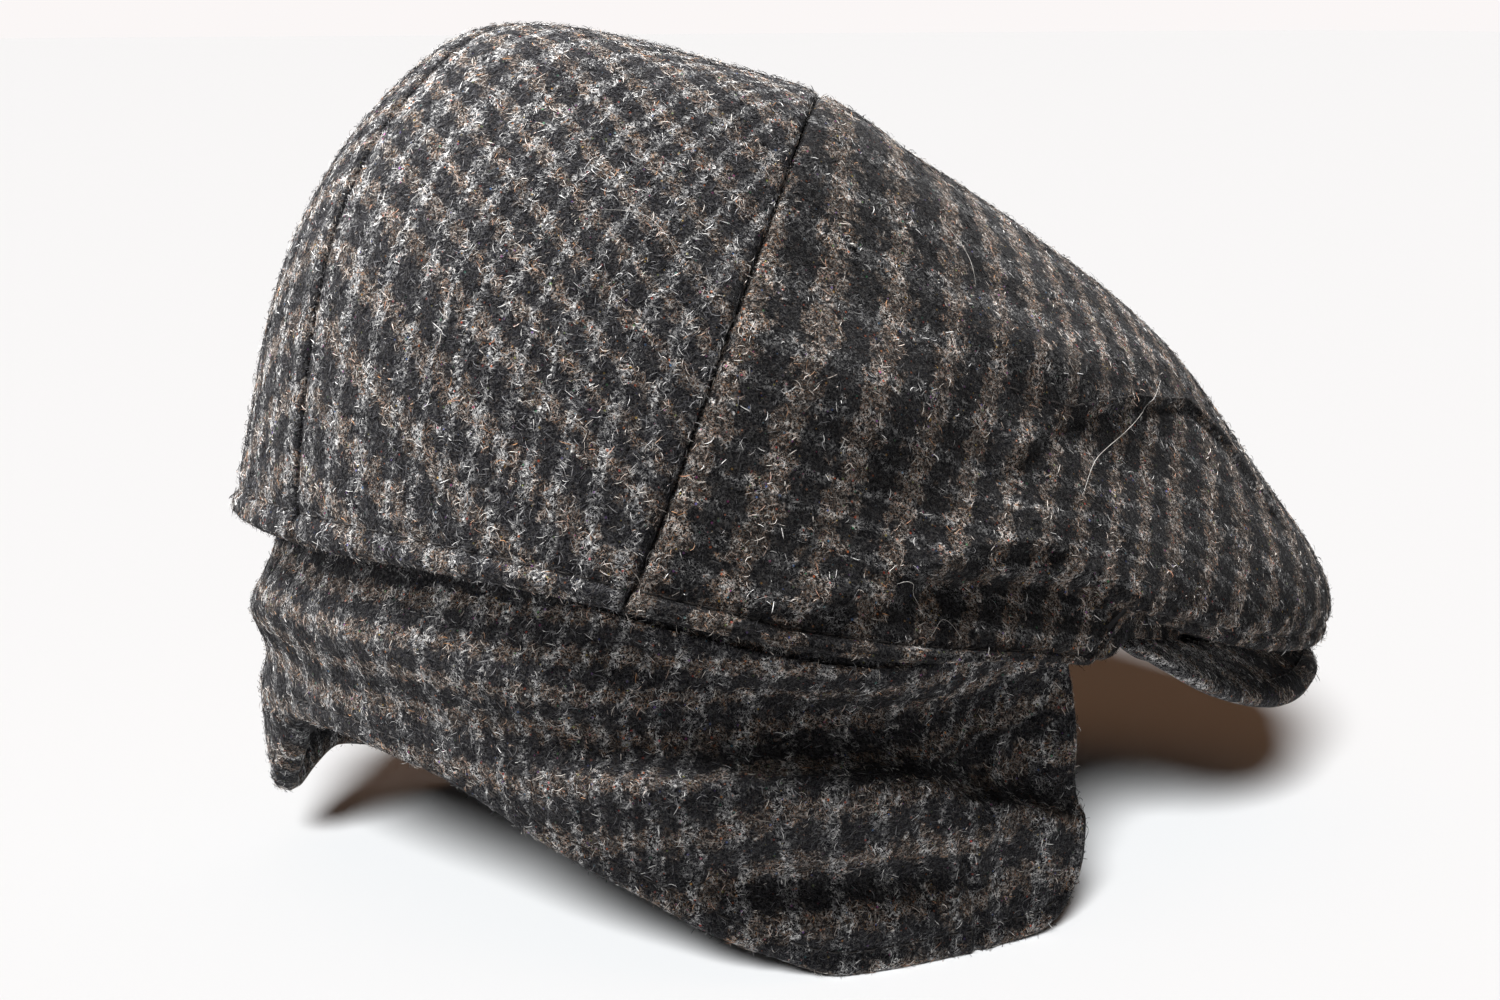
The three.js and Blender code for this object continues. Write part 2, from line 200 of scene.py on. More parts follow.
# ---- curves ----


def folded(turn):
    """A turn brought into 0 to 180, whichever side it is on."""
    return np.abs((np.asarray(turn, float) + 180.0) % 360.0 - 180.0)


def smooth_step(low, high, value):
    share = np.clip((np.asarray(value, float) - low) / (high - low), 0.0, 1.0)
    return share * share * (3.0 - 2.0 * share)


def bell(offset, half):
    """1 in the middle, falling away smoothly to either side."""
    return np.exp(-((offset / half) ** 2))


def around_crown(values, turn):
    """Smooth value at a turn from values at equal turns 0 to 180, the same left and right."""
    values = np.asarray(values, float)
    last = len(values) - 1
    at = folded(turn) / 180.0 * last
    span = np.minimum(np.floor(at).astype(int), last - 1)
    part = at - span

    def mirrored(index):
        index = np.where(index < 0, -index, index)
        return values[np.where(index > last, 2 * last - index, index)]

    return (
        (1 - part) ** 3 * mirrored(span - 1)
        + (3 * part ** 3 - 6 * part ** 2 + 4) * mirrored(span)
        + (-3 * part ** 3 + 3 * part ** 2 + 3 * part + 1) * mirrored(span + 1)
        + part ** 3 * mirrored(span + 2)
    ) / 6.0


def guided_curve(guides, along):
    """Value on a cubic B-spline that starts and ends on its end guides."""
    guides = np.array(np.broadcast_arrays(*guides), float)
    spans = len(guides) - 3
    at = np.clip(along, 0.0, 1.0) * spans
    span = np.minimum(np.floor(at).astype(int), spans - 1)
    values = [np.take_along_axis(guides, (span + index)[None], 0)[0] for index in range(4)]
    for round_number in range(1, 4):
        for index in range(3, round_number - 1, -1):
            low = np.clip(span + index - 3, 0, spans)
            high = np.clip(span + index + 1 - round_number, 0, spans)
            share = (at - low) / (high - low)
            values[index] = (1 - share) * values[index - 1] + share * values[index]
    return values[3]


def from_table(rows, turn):
    """A table's columns at a turn: cubics through the rows that never overshoot them."""
    turns, *columns = np.array(rows, float).T
    at = np.clip(folded(turn), turns[0], turns[-1])
    low = np.clip(np.searchsorted(turns, at, side="right") - 1, 0, len(turns) - 2)
    step = turns[low + 1] - turns[low]
    x = (at - turns[low]) / step
    found = []
    for values in columns:
        slopes = np.diff(values) / np.diff(turns)
        tangents = np.zeros_like(values)
        for index, (before, after) in enumerate(zip(slopes, slopes[1:]), 1):
            tangents[index] = 0.0 if before * after <= 0 else 2 * before * after / (before + after)
        found.append(
            (1 + 2 * x) * (1 - x) ** 2 * values[low]
            + x * (1 - x) ** 2 * step * tangents[low]
            + x * x * (3 - 2 * x) * values[low + 1]
            + x * x * (x - 1) * step * tangents[low + 1]
        )
    return found


def in_plan(turn, reach, height):
    angle = np.radians(turn)
    return np.stack(np.broadcast_arrays(T_PLACE + reach * np.cos(angle), reach * np.sin(angle), height), -1)


def reach_of(points):
    return np.hypot(points[..., 0] - T_PLACE, points[..., 1])


def unit(vectors):
    return vectors / np.maximum(np.linalg.norm(vectors, axis=-1, keepdims=True), 1e-9)


# ---- crown ----


def nose_share(turn):
    """1 over the peak and 0 at the sides, where the nose runs out into the hem."""
    return 1.0 - smooth_step(NOSE.full, NOSE.end, folded(turn))


def smooth_crown(turn, down):
    """The crown's outer cloth before its folds; down runs from 0 at the T to 1 at the hem."""
    turn, down = np.broadcast_arrays(np.asarray(turn, float), np.asarray(down, float))
    flat = np.zeros_like(turn)
    reach = [flat, flat + T_REACH]
    height = [flat + T_HEIGHT, T_HEIGHT + T_SLOPE * T_REACH * np.cos(np.radians(turn))]
    for ring in range(1, len(RINGS) + 1):
        reach.append(around_crown([row[ring][0] for row in CROWN_SECTIONS], turn))
        height.append(around_crown([row[ring][1] for row in CROWN_SECTIONS], turn))
    share = nose_share(turn)
    reach[-1] = reach[-1] + NOSE.swell * share
    height[-1] = height[-1] + NOSE.lift * share
    height[-2] = height[-2] + NOSE.share * NOSE.lift * share
    return in_plan(turn, guided_curve(reach, down), guided_curve(height, down))


def crown_normal(turn, down):
    """Outward direction of the crown's cloth."""
    step, side_step = NORMAL_STEP.down, NORMAL_STEP.turn
    down = np.maximum(down, 2 * step)
    fall = smooth_crown(turn, np.minimum(down + step, 1.0)) - smooth_crown(turn, down - step)
    around = smooth_crown(turn + side_step, down) - smooth_crown(turn - side_step, down)
    return unit(np.cross(fall, around))


def hem_line(turn):
    """The crown's edge at a turn."""
    return smooth_crown(turn, np.ones_like(turn))


def cross_seam(down):
    """The turn of the seam between the front and rear panels."""
    return CROSS_SEAM.top + (CROSS_SEAM.hem - CROSS_SEAM.top) * down


def rolled(distance, width):
    """0 at an edge and 1 past the given width, round like the side of a pillow."""
    share = np.clip(distance / width, 0.0, 1.0)
    return np.sqrt(np.maximum(1.0 - (1.0 - share) ** 2, 0.0))


# Creases of the crown, each a line of (turn, down) from the side forwards, with the height
# and reach of the welt above it, the depth of the crease, the drop of the cloth below it and
# how far that spreads, and the length of the fade past its ends, in millimetres.
CREASES = [
    Sizes(
        line=[(96, 0.73), (80, 0.65), (60, 0.60), (44, 0.59), (38, 0.65), (36, 0.75)],
        welt=0.8, reach=2.4, depth=0.9, drop=0.7, spread=10.0, fade=11.0,
    ),
    Sizes(
        line=[(110, 0.87), (95, 0.85), (86, 0.85), (80, 0.92), (76, 1.02)],
        welt=1.9, reach=4.0, depth=1.5, drop=3.4, spread=9.0, fade=11.0,
    ),
    Sizes(
        line=[(128, 0.95), (115, 0.90), (105, 0.84), (94, 0.82)],
        welt=1.4, reach=4.0, depth=0.2, drop=0.8, spread=5.0, fade=12.0,
    ),
]
# Broad folds of the crown: turn, down, how wide in turns and in share of the profile, rise.
CROWN_FOLDS = [
    (112, 0.80, 9, 0.045, -1.6), (103, 0.73, 8, 0.05, -2.4), (96, 0.78, 7, 0.03, 1.0),
    (88, 0.72, 10, 0.03, 0.8), (70, 0.70, 14, 0.06, -1.4), (60, 0.52, 16, 0.04, 1.2),
    (52, 0.84, 10, 0.10, -1.0), (125, 0.60, 12, 0.08, -0.8), (150, 0.45, 12, 0.10, -0.8),
    (168, 0.80, 10, 0.08, 0.7), (138, 0.86, 10, 0.05, 0.6), (45, 0.40, 14, 0.07, -0.9),
    (82, 0.575, 18, 0.05, 2.6), (117, 0.70, 13, 0.07, 2.4),
]


def beside_line(line, x, y):
    """Distance from a line, positive on its left, and how far past its ends."""
    nearest = np.full(np.shape(x), 1e9)
    beside = np.zeros(np.shape(x))
    past = np.zeros(np.shape(x))
    last = len(line) - 2
    for index in range(last + 1):
        (x0, y0), (x1, y1) = line[index], line[index + 1]
        length = math.hypot(x1 - x0, y1 - y0)
        ahead = ((x - x0) * (x1 - x0) + (y - y0) * (y1 - y0)) / length
        aside = ((x - x0) * (y1 - y0) - (y - y0) * (x1 - x0)) / length
        over = np.maximum(np.maximum(-ahead, ahead - length), 0.0)
        apart = np.hypot(aside, over)
        near = apart < nearest
        nearest = np.where(near, apart, nearest)
        beside = np.where(near, np.where(aside < 0, -apart, apart), beside)
        ends = np.where(ahead < 0, index == 0, index == last)
        past = np.where(near, over * ends, past)
    return beside, past


WELT_TOP = 0.9            # from a crease to the top of its welt, and to the low cloth beyond
FURROW = 1.0              # half width of a crease


def crease_rise(beside, past, crease):
    """A welt on one side of a line, a narrow furrow along it and lower cloth beyond."""
    above = crease.welt * np.clip(beside / WELT_TOP, 0.0, 1.0)
    above = above * np.exp(-np.maximum(beside - WELT_TOP, 0.0) / crease.reach)
    below = crease.drop * np.clip(-beside / WELT_TOP, 0.0, 1.0)
    below = below * bell(np.maximum(-beside - WELT_TOP, 0.0), crease.spread)
    furrow = crease.depth * bell(beside, FURROW)
    return (above - below - furrow) * bell(past, crease.fade)


PROFILE_LENGTH = 150.0    # of the crown's cloth from the T to the hem at the temples
TURN_LENGTH = 1.45        # of a turn along the cloth there


def crown_relief(turn, down):
    """Creases, soft folds and unevenness of the crown's cloth, in millimetres outwards."""
    at = folded(turn)
    rise = np.zeros_like(at)
    for centre, low, wide, tall, height in CROWN_FOLDS:
        rise += height * bell(at - centre, wide) * bell(down - low, tall)
    for crease in CREASES:
        line = [(-spot * TURN_LENGTH, low * PROFILE_LENGTH) for spot, low in crease.line]
        beside, past = beside_line(line, -at * TURN_LENGTH, down * PROFILE_LENGTH)
        rise += crease_rise(beside, past, crease)
    above_hem = hem_distance(down)
    rise += HEM_PUFF.rise * smooth_step(HEM_BAND, HEM_BAND - HEM_PUFF.fade, above_hem)
    rise -= HEM_PULL.crown * bell(above_hem - HEM_BAND, HEM_PULL.half)
    return rise


def hem_distance(down):
    """Roughly how far a point lies above the hem, in millimetres."""
    return (1.0 - down) * PROFILE_LENGTH


# ---- measuring along the cloth ----


def along_grid(points, axis):
    """Length walked over a line or grid of points from its first point, row or column."""
    steps = np.linalg.norm(np.diff(points, axis=axis), axis=-1)
    return np.insert(np.cumsum(steps, axis=axis), 0, 0.0, axis=axis)


def stripe_count(place, first, runs):
    """How many stripes lie before a place; whole numbers are the middles of stripes."""
    spacings = [spacing for spacing, number in runs for _ in range(number)]
    middles = first + np.concatenate([[0.0], np.cumsum(spacings)])
    return np.interp(place, middles, np.arange(len(middles)))


# ---- pieces ----


def grid_mesh(columns, rows):
    """A flat square of faces to be moved into place, with each corner's place in it."""
    bm = bmesh.new()
    bmesh.ops.create_grid(bm, x_segments=columns, y_segments=rows, size=0.5)
    places = np.array([(vert.co.x + 0.5, vert.co.y + 0.5) for vert in bm.verts])
    across = places[:, 0].reshape(rows + 1, columns + 1)
    along = places[:, 1].reshape(rows + 1, columns + 1)
    return bm, across, along


def keep_vectors(mesh, name, values):
    """Keep a vector at each corner of a mesh, for the materials to read."""
    layer = mesh.attributes.new(name, "FLOAT_VECTOR", "POINT")
    layer.data.foreach_set("vector", values.reshape(-1, 3).astype(np.float32).ravel())


SHEET_JOIN = 2e-6         # metres within which the two sheets' edges are joined


def padded_piece(name, columns, rows, surface, materials, turned_in):
    """A closed padded shell between an outer and an inner sheet that meet all round.

    The given share of the inner sheet, at its lower edge, is wool that is turned in.
    """
    whole = bmesh.new()
    outer = None
    for side in (0, 1):
        bm, across, along = grid_mesh(columns, rows)
        for face in bm.faces:
            face.material_index = side * (face.calc_center_median().y + 0.5 < 1.0 - turned_in)
            face.smooth = True
        points, pattern = surface(across, along, side)
        for vert, point in zip(bm.verts, points.reshape(-1, 3) * MM):
            vert.co = point
        if side:
            bmesh.ops.reverse_faces(bm, faces=bm.faces[:])
        else:
            outer = (points, pattern)
        part = bpy.data.meshes.new("part")
        bm.to_mesh(part)
        bm.free()
        keep_vectors(part, "cloth", pattern)
        whole.from_mesh(part)
        bpy.data.meshes.remove(part)
    bmesh.ops.remove_doubles(whole, verts=whole.verts[:], dist=SHEET_JOIN)
    mesh = bpy.data.meshes.new(name)
    whole.to_mesh(mesh)
    whole.free()
    for material in materials:
        mesh.materials.append(material)
    return in_scene(name, mesh), outer


def crown_sheet(turn, down, to_seam, slant, side):
    """One sheet of a crown panel; to_seam is the turn left to its nearest seam."""
    base = smooth_crown(turn, down)
    seam = rolled(reach_of(base) * np.radians(to_seam) * slant, SEAM_ROLL)
    hem = rolled(hem_distance(down), HEM_ROLL)
    edge = np.minimum(seam, hem)
    rim = SEAM_DEPTH + (HEM_DEPTH - SEAM_DEPTH) * np.clip(seam * 2 - hem, 0.0, 1.0)
    lift = -rim * (1 - edge) + crown_relief(turn, down) * edge
    if side:    # the inner sheet keeps off the folds
        lift = np.minimum(-rim - (CROWN_WALL - rim) * edge, lift - CLOTH * edge)
    return base, base + crown_normal(turn, down) * lift[..., None]


def check(part, across_bands, across_rows):
    """A part's pattern: bands passed, rows passed and how strongly the rows show, which also sets the part's
    painted shade.
    """
    look = CHECKS[part]
    counts = [stripe_count(across_bands, *look["bands"]), stripe_count(across_rows, *look["rows"])]
    return np.stack(counts + [np.full_like(across_bands, look["strength"])], -1)


def front_panel(across, along, side):
    crowd = COLUMN_CROWD * np.sin(2 * np.pi * across) / (2 * np.pi)
    turn = (2 * (across - crowd) - 1) * cross_seam(along)
    to_seam = cross_seam(along) - np.abs(turn)
    base, points = crown_sheet(turn, along, to_seam, SEAM_SLANT.front, side)
    from_right = along_grid(base, 1)
    from_left = from_right[:, -1:] - from_right
    apart = np.sqrt((from_right - from_left) ** 2 + FRONT_CHECK.blend ** 2)
    from_seam = (from_right + from_left - apart) / 2
    from_seam = from_seam + FRONT_CHECK.spread * np.maximum(0.0, FRONT_CHECK.top - along)
    climb = FRONT_CHECK.climb * (np.minimum(from_seam, FRONT_CHECK.until) - FRONT_CHECK.level)
    sideways = np.sin(np.radians(np.minimum(np.abs(turn), 90.0)))
    from_top = along_grid(base, 0) * sideways + climb
    return points, check("front", from_seam, from_top)


def rear_panel(hand):
    """The rear panel on one side: hand is -1 on the right and 1 on the left."""
    def surface(across, along, side):
        share = across if hand > 0 else 1.0 - across
        turn = cross_seam(along) + share * (180.0 - cross_seam(along))
        to_seam = np.minimum(turn - cross_seam(along), 180.0 - turn)
        base, points = crown_sheet(hand * turn, along, to_seam, SEAM_SLANT.rear, side)
        from_back = along_grid(base, 1)
        if hand > 0:
            from_back = from_back[:, -1:] - from_back
        from_top = along_grid(base, 0)
        lean = REAR_CHECK.lean * smooth_step(REAR_CHECK.start, REAR_CHECK.end, from_top)
        leant = from_top - lean * (from_back - REAR_CHECK.level)
        return points, check("rear", leant, from_back)
    return surface


# Folds of the flap: from and to (turn, height), width above and below the line, rise, ends.
FLAP_FOLDS = [
    ((142, 66), (112, 57), 4.5, 5.0, -2.0, 9.0),
    ((128, 48), (90, 45), 10.0, 7.0, -4.6, 7.0),
    ((102, 30), (96, 46), 4.0, 4.0, 1.4, 4.0),
    ((131, 20), (113, 17), 4.5, 4.0, -4.0, 5.0),
    ((130, 11), (112, 10), 4.0, 4.0, 1.2, 6.0),
    ((176, 50), (150, 46), 6.0, 6.0, -2.0, 8.0),
    ((170, 60), (146, 55), 5.0, 5.0, 1.0, 8.0),
    ((120, 48), (100, 56), 4.0, 4.0, 0.8, 6.0),
]
# The ledge, where the cloth rolls over above a hollow.
FLAP_LEDGE = Sizes(
    line=[(139, 40), (126.6, 38.5), (119, 38), (112, 36), (107, 31.5), (99, 28), (90, 23)],
    roll=3.2, under=8.0, below=2.0, top=1.6, hollow=-6.6, over=7.0, fade=9.0,
)
# The dart that runs up from each lobe's lower edge, with soft cloth on both sides.
LOBE_DART = Sizes(
    line=[(107.7, 25), (106.5, 17), (104.8, 8.7), (104.4, -2)],
    puff=0.5, full=2.0, reach=4.0, depth=1.0, half=0.9, fade=3.0,
)


def past_ends(at, ends):
    """How far a turn lies outside the turns of a line."""
    return np.maximum(np.maximum(min(ends) - at, at - max(ends)), 0.0)


def fold_rise(at, height, fold):
    """A soft ridge or valley along a straight line, dying away past its ends."""
    (start, start_height), (end, end_height), above, below, lift, fade = fold
    share = (at - start) / (end - start)
    off = height - (start_height + (end_height - start_height) * share)
    past = past_ends(at, (start, end))
    return lift * bell(off, np.where(off > 0, above, below)) * bell(past, fade)


def ledge_rise(at, height):
    """Cloth that bulges below the ledge's line and falls into a hollow above it."""
    turns, heights = zip(*sorted(FLAP_LEDGE.line))
    off = height - np.interp(at, turns, heights)
    past = past_ends(at, turns)
    under = bell(off + FLAP_LEDGE.below, FLAP_LEDGE.under)
    over = bell(FLAP_LEDGE.below, FLAP_LEDGE.under) * bell(off, FLAP_LEDGE.top)
    share = np.maximum(off, 0.0) / FLAP_LEDGE.over
    hollow = FLAP_LEDGE.hollow * share * np.exp(1.0 - share)
    return (FLAP_LEDGE.roll * np.where(off < 0, under, over) + hollow) * bell(past, FLAP_LEDGE.fade)


def dart_rise(at, height):
    """The furrow of the lobe's dart between two soft swellings."""
    line = [(-spot * TURN_LENGTH, -low) for spot, low in LOBE_DART.line]
    beside, past = beside_line(line, -at * TURN_LENGTH, -height)
    puff = np.clip(np.abs(beside), 0.0, LOBE_DART.full) * bell(beside, LOBE_DART.reach)
    furrow = LOBE_DART.depth * bell(beside, LOBE_DART.half)
    return (LOBE_DART.puff * puff - furrow) * bell(past, LOBE_DART.fade)


def flap_relief(turn, height):
    """The flap's folds, in millimetres outwards."""
    at = folded(turn)
    rise = sum(fold_rise(at, height, fold) for fold in FLAP_FOLDS)
    rise = rise + ledge_rise(at, height) + dart_rise(at, height)
    curl = bell(turn - CURL.turn, CURL.wide) * bell(height - CURL.height, CURL.tall)
    return rise + CURL.rise * np.where(turn < 180.0, curl, 0.0)


def behind_crown(turn, along):
    """The flap's top, tucked up behind the crown's cloth."""
    hidden = FLAP_TUCK.crown * np.clip(1.0 - along / FLAP_TUCK.flap, 0.0, 1.0)
    inside = CROWN_WALL + FLAP_GAP + HEM_STEP
    return smooth_crown(turn, 1.0 - hidden) - crown_normal(turn, 1.0 - hidden) * inside


def hanging_reach(turn, hem, fall):
    """How far out the hanging flap is, at a share of its fall from the hem."""
    middle, edge = from_table(FLAP_INSET, turn)
    inset = middle * 4 * fall * (1 - fall) + edge * fall ** 2
    return reach_of(hem) - inset + HEM_STEP * smooth_step(0.0, FLAP_START.step, fall)


def flap_check(base):
    """The flap's check, which slopes down from the middle of the back to the lobes."""
    around = along_grid(base, 1)
    middle = around.shape[1] // 2
    from_back = np.abs(around - around[:, middle:middle + 1])
    fallen = along_grid(base, 0)
    start = int(round(FLAP_TUCK.flap * (base.shape[0] - 1)))
    fallen = fallen - fallen[start:start + 1]
    bend = FLAP_CHECK.bend
    slope = FLAP_CHECK.near * np.minimum(from_back, bend)
    slope = slope + FLAP_CHECK.far * np.maximum(from_back - bend, 0.0)
    return check("flap", fallen + slope, from_back)


def neck_flap(across, along, side):
    turn = FLAP_FRONT + across * (360.0 - 2 * FLAP_FRONT)
    signed = np.where(turn > 180.0, turn - 360.0, turn)
    tuck = FLAP_TUCK.flap
    hem = behind_crown(signed, np.full_like(signed, tuck))
    tucked = behind_crown(signed, along)
    fall = np.clip((along - tuck) / (1.0 - tuck), 0.0, 1.0)
    low = np.where(turn > 180.0, *from_table(FLAP_EDGE, turn))
    height = hem[..., 2] + (low - hem[..., 2]) * fall
    reach = hanging_reach(turn, hem, fall)
    drop = (hem[..., 2] - low) * (1.0 - fall)
    from_front = reach * np.radians(np.minimum(turn - FLAP_FRONT, 360.0 - FLAP_FRONT - turn))
    settled = smooth_step(FLAP_CALM.start, FLAP_CALM.end, from_front)
    calm = FLAP_CALM.least + (1.0 - FLAP_CALM.least) * settled
    relief = smooth_step(0.0, FLAP_START.folds, fall) * flap_relief(turn, height) * calm
    from_edge = np.minimum(drop, from_front)
    relief = relief - HEM_PULL.flap * bell(from_edge - HEM_BAND, HEM_PULL.half) * (fall > 0)
    edge = rolled(np.minimum(from_edge, along * FLAP_TUCK.deep), FLAP_ROLL)
    depth = FLAP_WALL / 2 * (1.0 + edge if side else 1.0 - edge) - relief
    angle = np.radians(signed)
    outwards = np.stack([np.cos(angle), np.sin(angle), np.zeros_like(angle)], -1)
    hidden = (along < tuck)[..., None]
    hanging = in_plan(signed, reach - depth, height)
    points = np.where(hidden, tucked - outwards * depth[..., None], hanging)
    base = np.where(hidden, tucked, in_plan(signed, reach + relief, height))
    return points, flap_check(base)


def peak_check(points, out):
    around = along_grid(points, 1)
    from_middle = np.abs(around - around[:, -1:] / 2)
    return check("peak", from_middle, out)


def nose_facing(across, along, side):
    """The strip of cloth under the nose, turned back from its edge to the forehead."""
    turn = (2 * across - 1) * FACING.end
    edge_point = hem_line(turn)
    _, _, depth, *_ = from_table(PEAK_SECTIONS, turn)
    length = along * (depth - CROWN_WALL)
    half = FACING.wall / 2
    swell = half * rolled(np.minimum(along, 1 - along) * FACING.deep, FACING.roll)
    height = edge_point[..., 2] + FACING.tuck + PEAK.rise * length + half
    height = height + (swell if side else -swell)
    points = in_plan(turn, reach_of(edge_point) - CROWN_WALL / 2 - length, height)
    return points, peak_check(points, length)


def temple_band(hand):
    """The side hem's band, which runs on behind the nose's end to the peak."""
    def surface(across, along, side):
        share = across if hand > 0 else 1.0 - across
        turn = BAND.start + (BAND.end - BAND.start) * share
        edge_point = hem_line(hand * turn)
        reach = reach_of(edge_point)
        _, gap, *_ = from_table(PEAK_SECTIONS, turn)
        on_peak = edge_point[..., 2] - gap + BAND_STEP.clear
        past_peak = smooth_step(BAND_STEP.start, BAND_STEP.end, turn)
        low = on_peak + (BAND.low - on_peak) * past_peak
        height = low + (edge_point[..., 2] + BAND.over - low) * (1.0 - along)
        half = BAND.wall / 2
        swell = half * rolled((1.0 - along) * BAND.deep, BAND.roll)
        inset = from_table(BAND_INSET, turn)[0] + half + (swell if side else -swell)
        points = in_plan(hand * turn, reach - inset, height)
        around = reach * np.radians(turn)
        return points, check("band", around, height)
    return surface


def cloth_peak(across, along, side):
    turn = (2 * across - 1) * PEAK.end
    edge_point = hem_line(turn)
    nose = reach_of(edge_point)
    droop, gap, depth, out, thick = from_table(PEAK_SECTIONS, turn)
    rim = nose + out
    inner = nose - depth
    reach = inner + (rim - inner) * along
    drop = droop * smooth_step(PEAK.droop_from, 1.0, along)
    rise = PEAK.rise * (nose - CROWN_WALL / 2 - reach)
    top = edge_point[..., 2] - gap - drop + rise
    rounding = (1 - PEAK.rim_share) * smooth_step(PEAK.round_from, 1.0, along)
    half = thick * (1 - rounding) / 2
    edge = rolled((rim - inner) * (1 - along), PEAK_ROLL.rim)
    edge = np.minimum(edge, rolled(nose * np.radians(PEAK.end - np.abs(turn)), PEAK_ROLL.ends))
    edge = np.minimum(edge, rolled((rim - inner) * along, PEAK_ROLL.inner))
    points = in_plan(turn, reach, top - half - half * edge * (1 if side else -1))
    return points, peak_check(points, reach)


# ---- materials ----


class Finish:
    """Short calls for a material's nodes; a socket given as a value is linked."""

    def __init__(self, name):
        self.material = bpy.data.materials.new(name)
        self.material.use_nodes = True
        self.tree = self.material.node_tree
        self.shader = self.tree.nodes["Principled BSDF"]

    def node(self, kind, inputs=None, **settings):
        made = self.tree.nodes.new(kind)
        for key, value in settings.items():
            setattr(made, key, value)
        for key, value in (inputs or {}).items():
            self.put(made.inputs[key], value)
        return made

    def put(self, socket, value):
        if isinstance(value, bpy.types.NodeSocket):
            self.tree.links.new(value, socket)
        else:
            socket.default_value = value

    def math(self, operation, first, second=0.0):
        return self.node("ShaderNodeMath", {0: first, 1: second}, operation=operation).outputs[0]

    def plus(self, first, second):
        return self.math("ADD", first, second)

    def minus(self, first, second):
        return self.math("SUBTRACT", first, second)

    def times(self, product, *others):
        for value in others:
            product = self.math("MULTIPLY", product, value)
        return product

    def vector(self, operation, first, second=(0.0, 0.0, 0.0)):
        return self.node("ShaderNodeVectorMath", {0: first, 1: second}, operation=operation).outputs[0]

    def noise(self, place, size, seed, detail=1.0, distortion=0.0):
        """Noise whose blotches are about the given size in millimetres."""
        moved = self.vector("ADD", place, (seed * 13.7, seed * 7.1, seed * 3.3))
        inputs = {"Vector": moved, "Scale": 1.0 / size, "Detail": detail, "Distortion": distortion}
        return self.node("ShaderNodeTexNoise", inputs).outputs["Fac"]

    def ease(self, value, low, high, start=0.0, end=1.0):
        inputs = {"Value": value, "From Min": low, "From Max": high, "To Min": start, "To Max": end}
        return self.node("ShaderNodeMapRange", inputs, interpolation_type="SMOOTHSTEP").outputs[0]

    def mix(self, share, first, second):
        made = self.node("ShaderNodeMix", data_type="RGBA", clamp_factor=True)
        self.put(made.inputs[0], share)
        self.put(made.inputs[6], first if isinstance(first, bpy.types.NodeSocket) else (*first, 1.0))
        self.put(made.inputs[7], second if isinstance(second, bpy.types.NodeSocket) else (*second, 1.0))
        return made.outputs[2]

    def bump(self, height, strength, depth):
        """Fine relief whose depth is given in millimetres."""
        inputs = {"Strength": strength, "Distance": depth * MM, "Height": height}
        return self.node("ShaderNodeBump", inputs).outputs[0]

    def surface(self, settings):
        """The finished material, with the shader's sockets set or linked."""
        for name, value in settings.items():
            self.put(self.shader.inputs[name], value)
        return self.material

    def ramp(self, value, stops):
        made = self.node("ShaderNodeValToRGB", {0: value})
        points = made.color_ramp.elements
        points[0].position, points[0].color = stops[0][0], (*stops[0][1], 1.0)
        points[1].position, points[1].color = stops[-1][0], (*stops[-1][1], 1.0)
        for place, colour in stops[1:-1]:
            point = points.new(place)
            point.color = (*colour, 1.0)
        return made.outputs[0]


def in_millimetres(finish):
    """Object coordinates in millimetres, so that sizes below read as millimetres."""
    place = finish.vector("SCALE", finish.node("ShaderNodeTexCoord").outputs["Object"])
    place.node.inputs["Scale"].default_value = 1000.0
    return place


def split(finish, attribute):
    source = finish.node("ShaderNodeAttribute", attribute_name=attribute).outputs["Vector"]
    return finish.node("ShaderNodeSeparateXYZ", {0: source}).outputs


# Noises of the wool: size of a blotch in millimetres, seed, detail.
WOOL_NOISE = Sizes(
    edges=(2.6, 1, 3.0), patch=(1.7, 2, 2.0), worn=(6.0, 9, 2.0),
    hue=(0.7, 7, 1.5), kind=(1.1, 8, 1.0), grain=(0.42, 6, 2.0),
)
WAVER = 1.1               # how ragged the check's edges are
# Which count each mask reads, and where it starts and is full.
MASKS = {"brown": (0, -0.25, 0.80), "light": (1, 0.0, 0.95)}
# Brown bands are milder where rows are strong: at no rows, and how much less at full rows.
MILDER = Sizes(most=1.1, less=0.4)
# Painted shade: the ground is darkened towards near black where the rows are weak, most on the front panel
# and the temple bands, for the shade on the side turned from the light: rows' strengths, then how much
# painted shade there.
PAINTED_SHADE_BY_STRENGTH = (0.45, 1.0, 0.74, 0.0)
# The core of a curling line as a share of its width, and the noise's detail and distortion.
LINE = Sizes(core=0.35, detail=1.5, curl=0.7)


def check_masks(finish, place):
    """How far a point is in a brown band and in a light row, and how much painted shade darkens it."""
    counts = split(finish, "cloth")
    noise = finish.noise(place, *WOOL_NOISE.edges)
    waver = finish.times(finish.minus(noise, 0.5), WAVER)
    masks = []
    for index, low, high in MASKS.values():
        swing = finish.math("COSINE", finish.times(finish.plus(counts[index], waver), 2 * math.pi))
        masks.append(finish.ease(swing, low, high))
    brown, light = masks
    milder = finish.minus(MILDER.most, finish.times(counts[2], MILDER.less))
    # How much painted shade the part's ground takes, from its rows' strength.
    depth = finish.ease(counts[2], *PAINTED_SHADE_BY_STRENGTH)
    return finish.times(brown, milder), finish.times(light, counts[2]), depth


def fibre_lines(finish, place, size, seed, width):
    """Thin curling lines, as the loose fibres on milled wool lie."""
    noise = finish.noise(place, size, seed, LINE.detail, LINE.curl)
    away = finish.math("ABSOLUTE", finish.minus(noise, 0.5))
    return finish.ease(away, width * LINE.core, width, 1.0, 0.0)


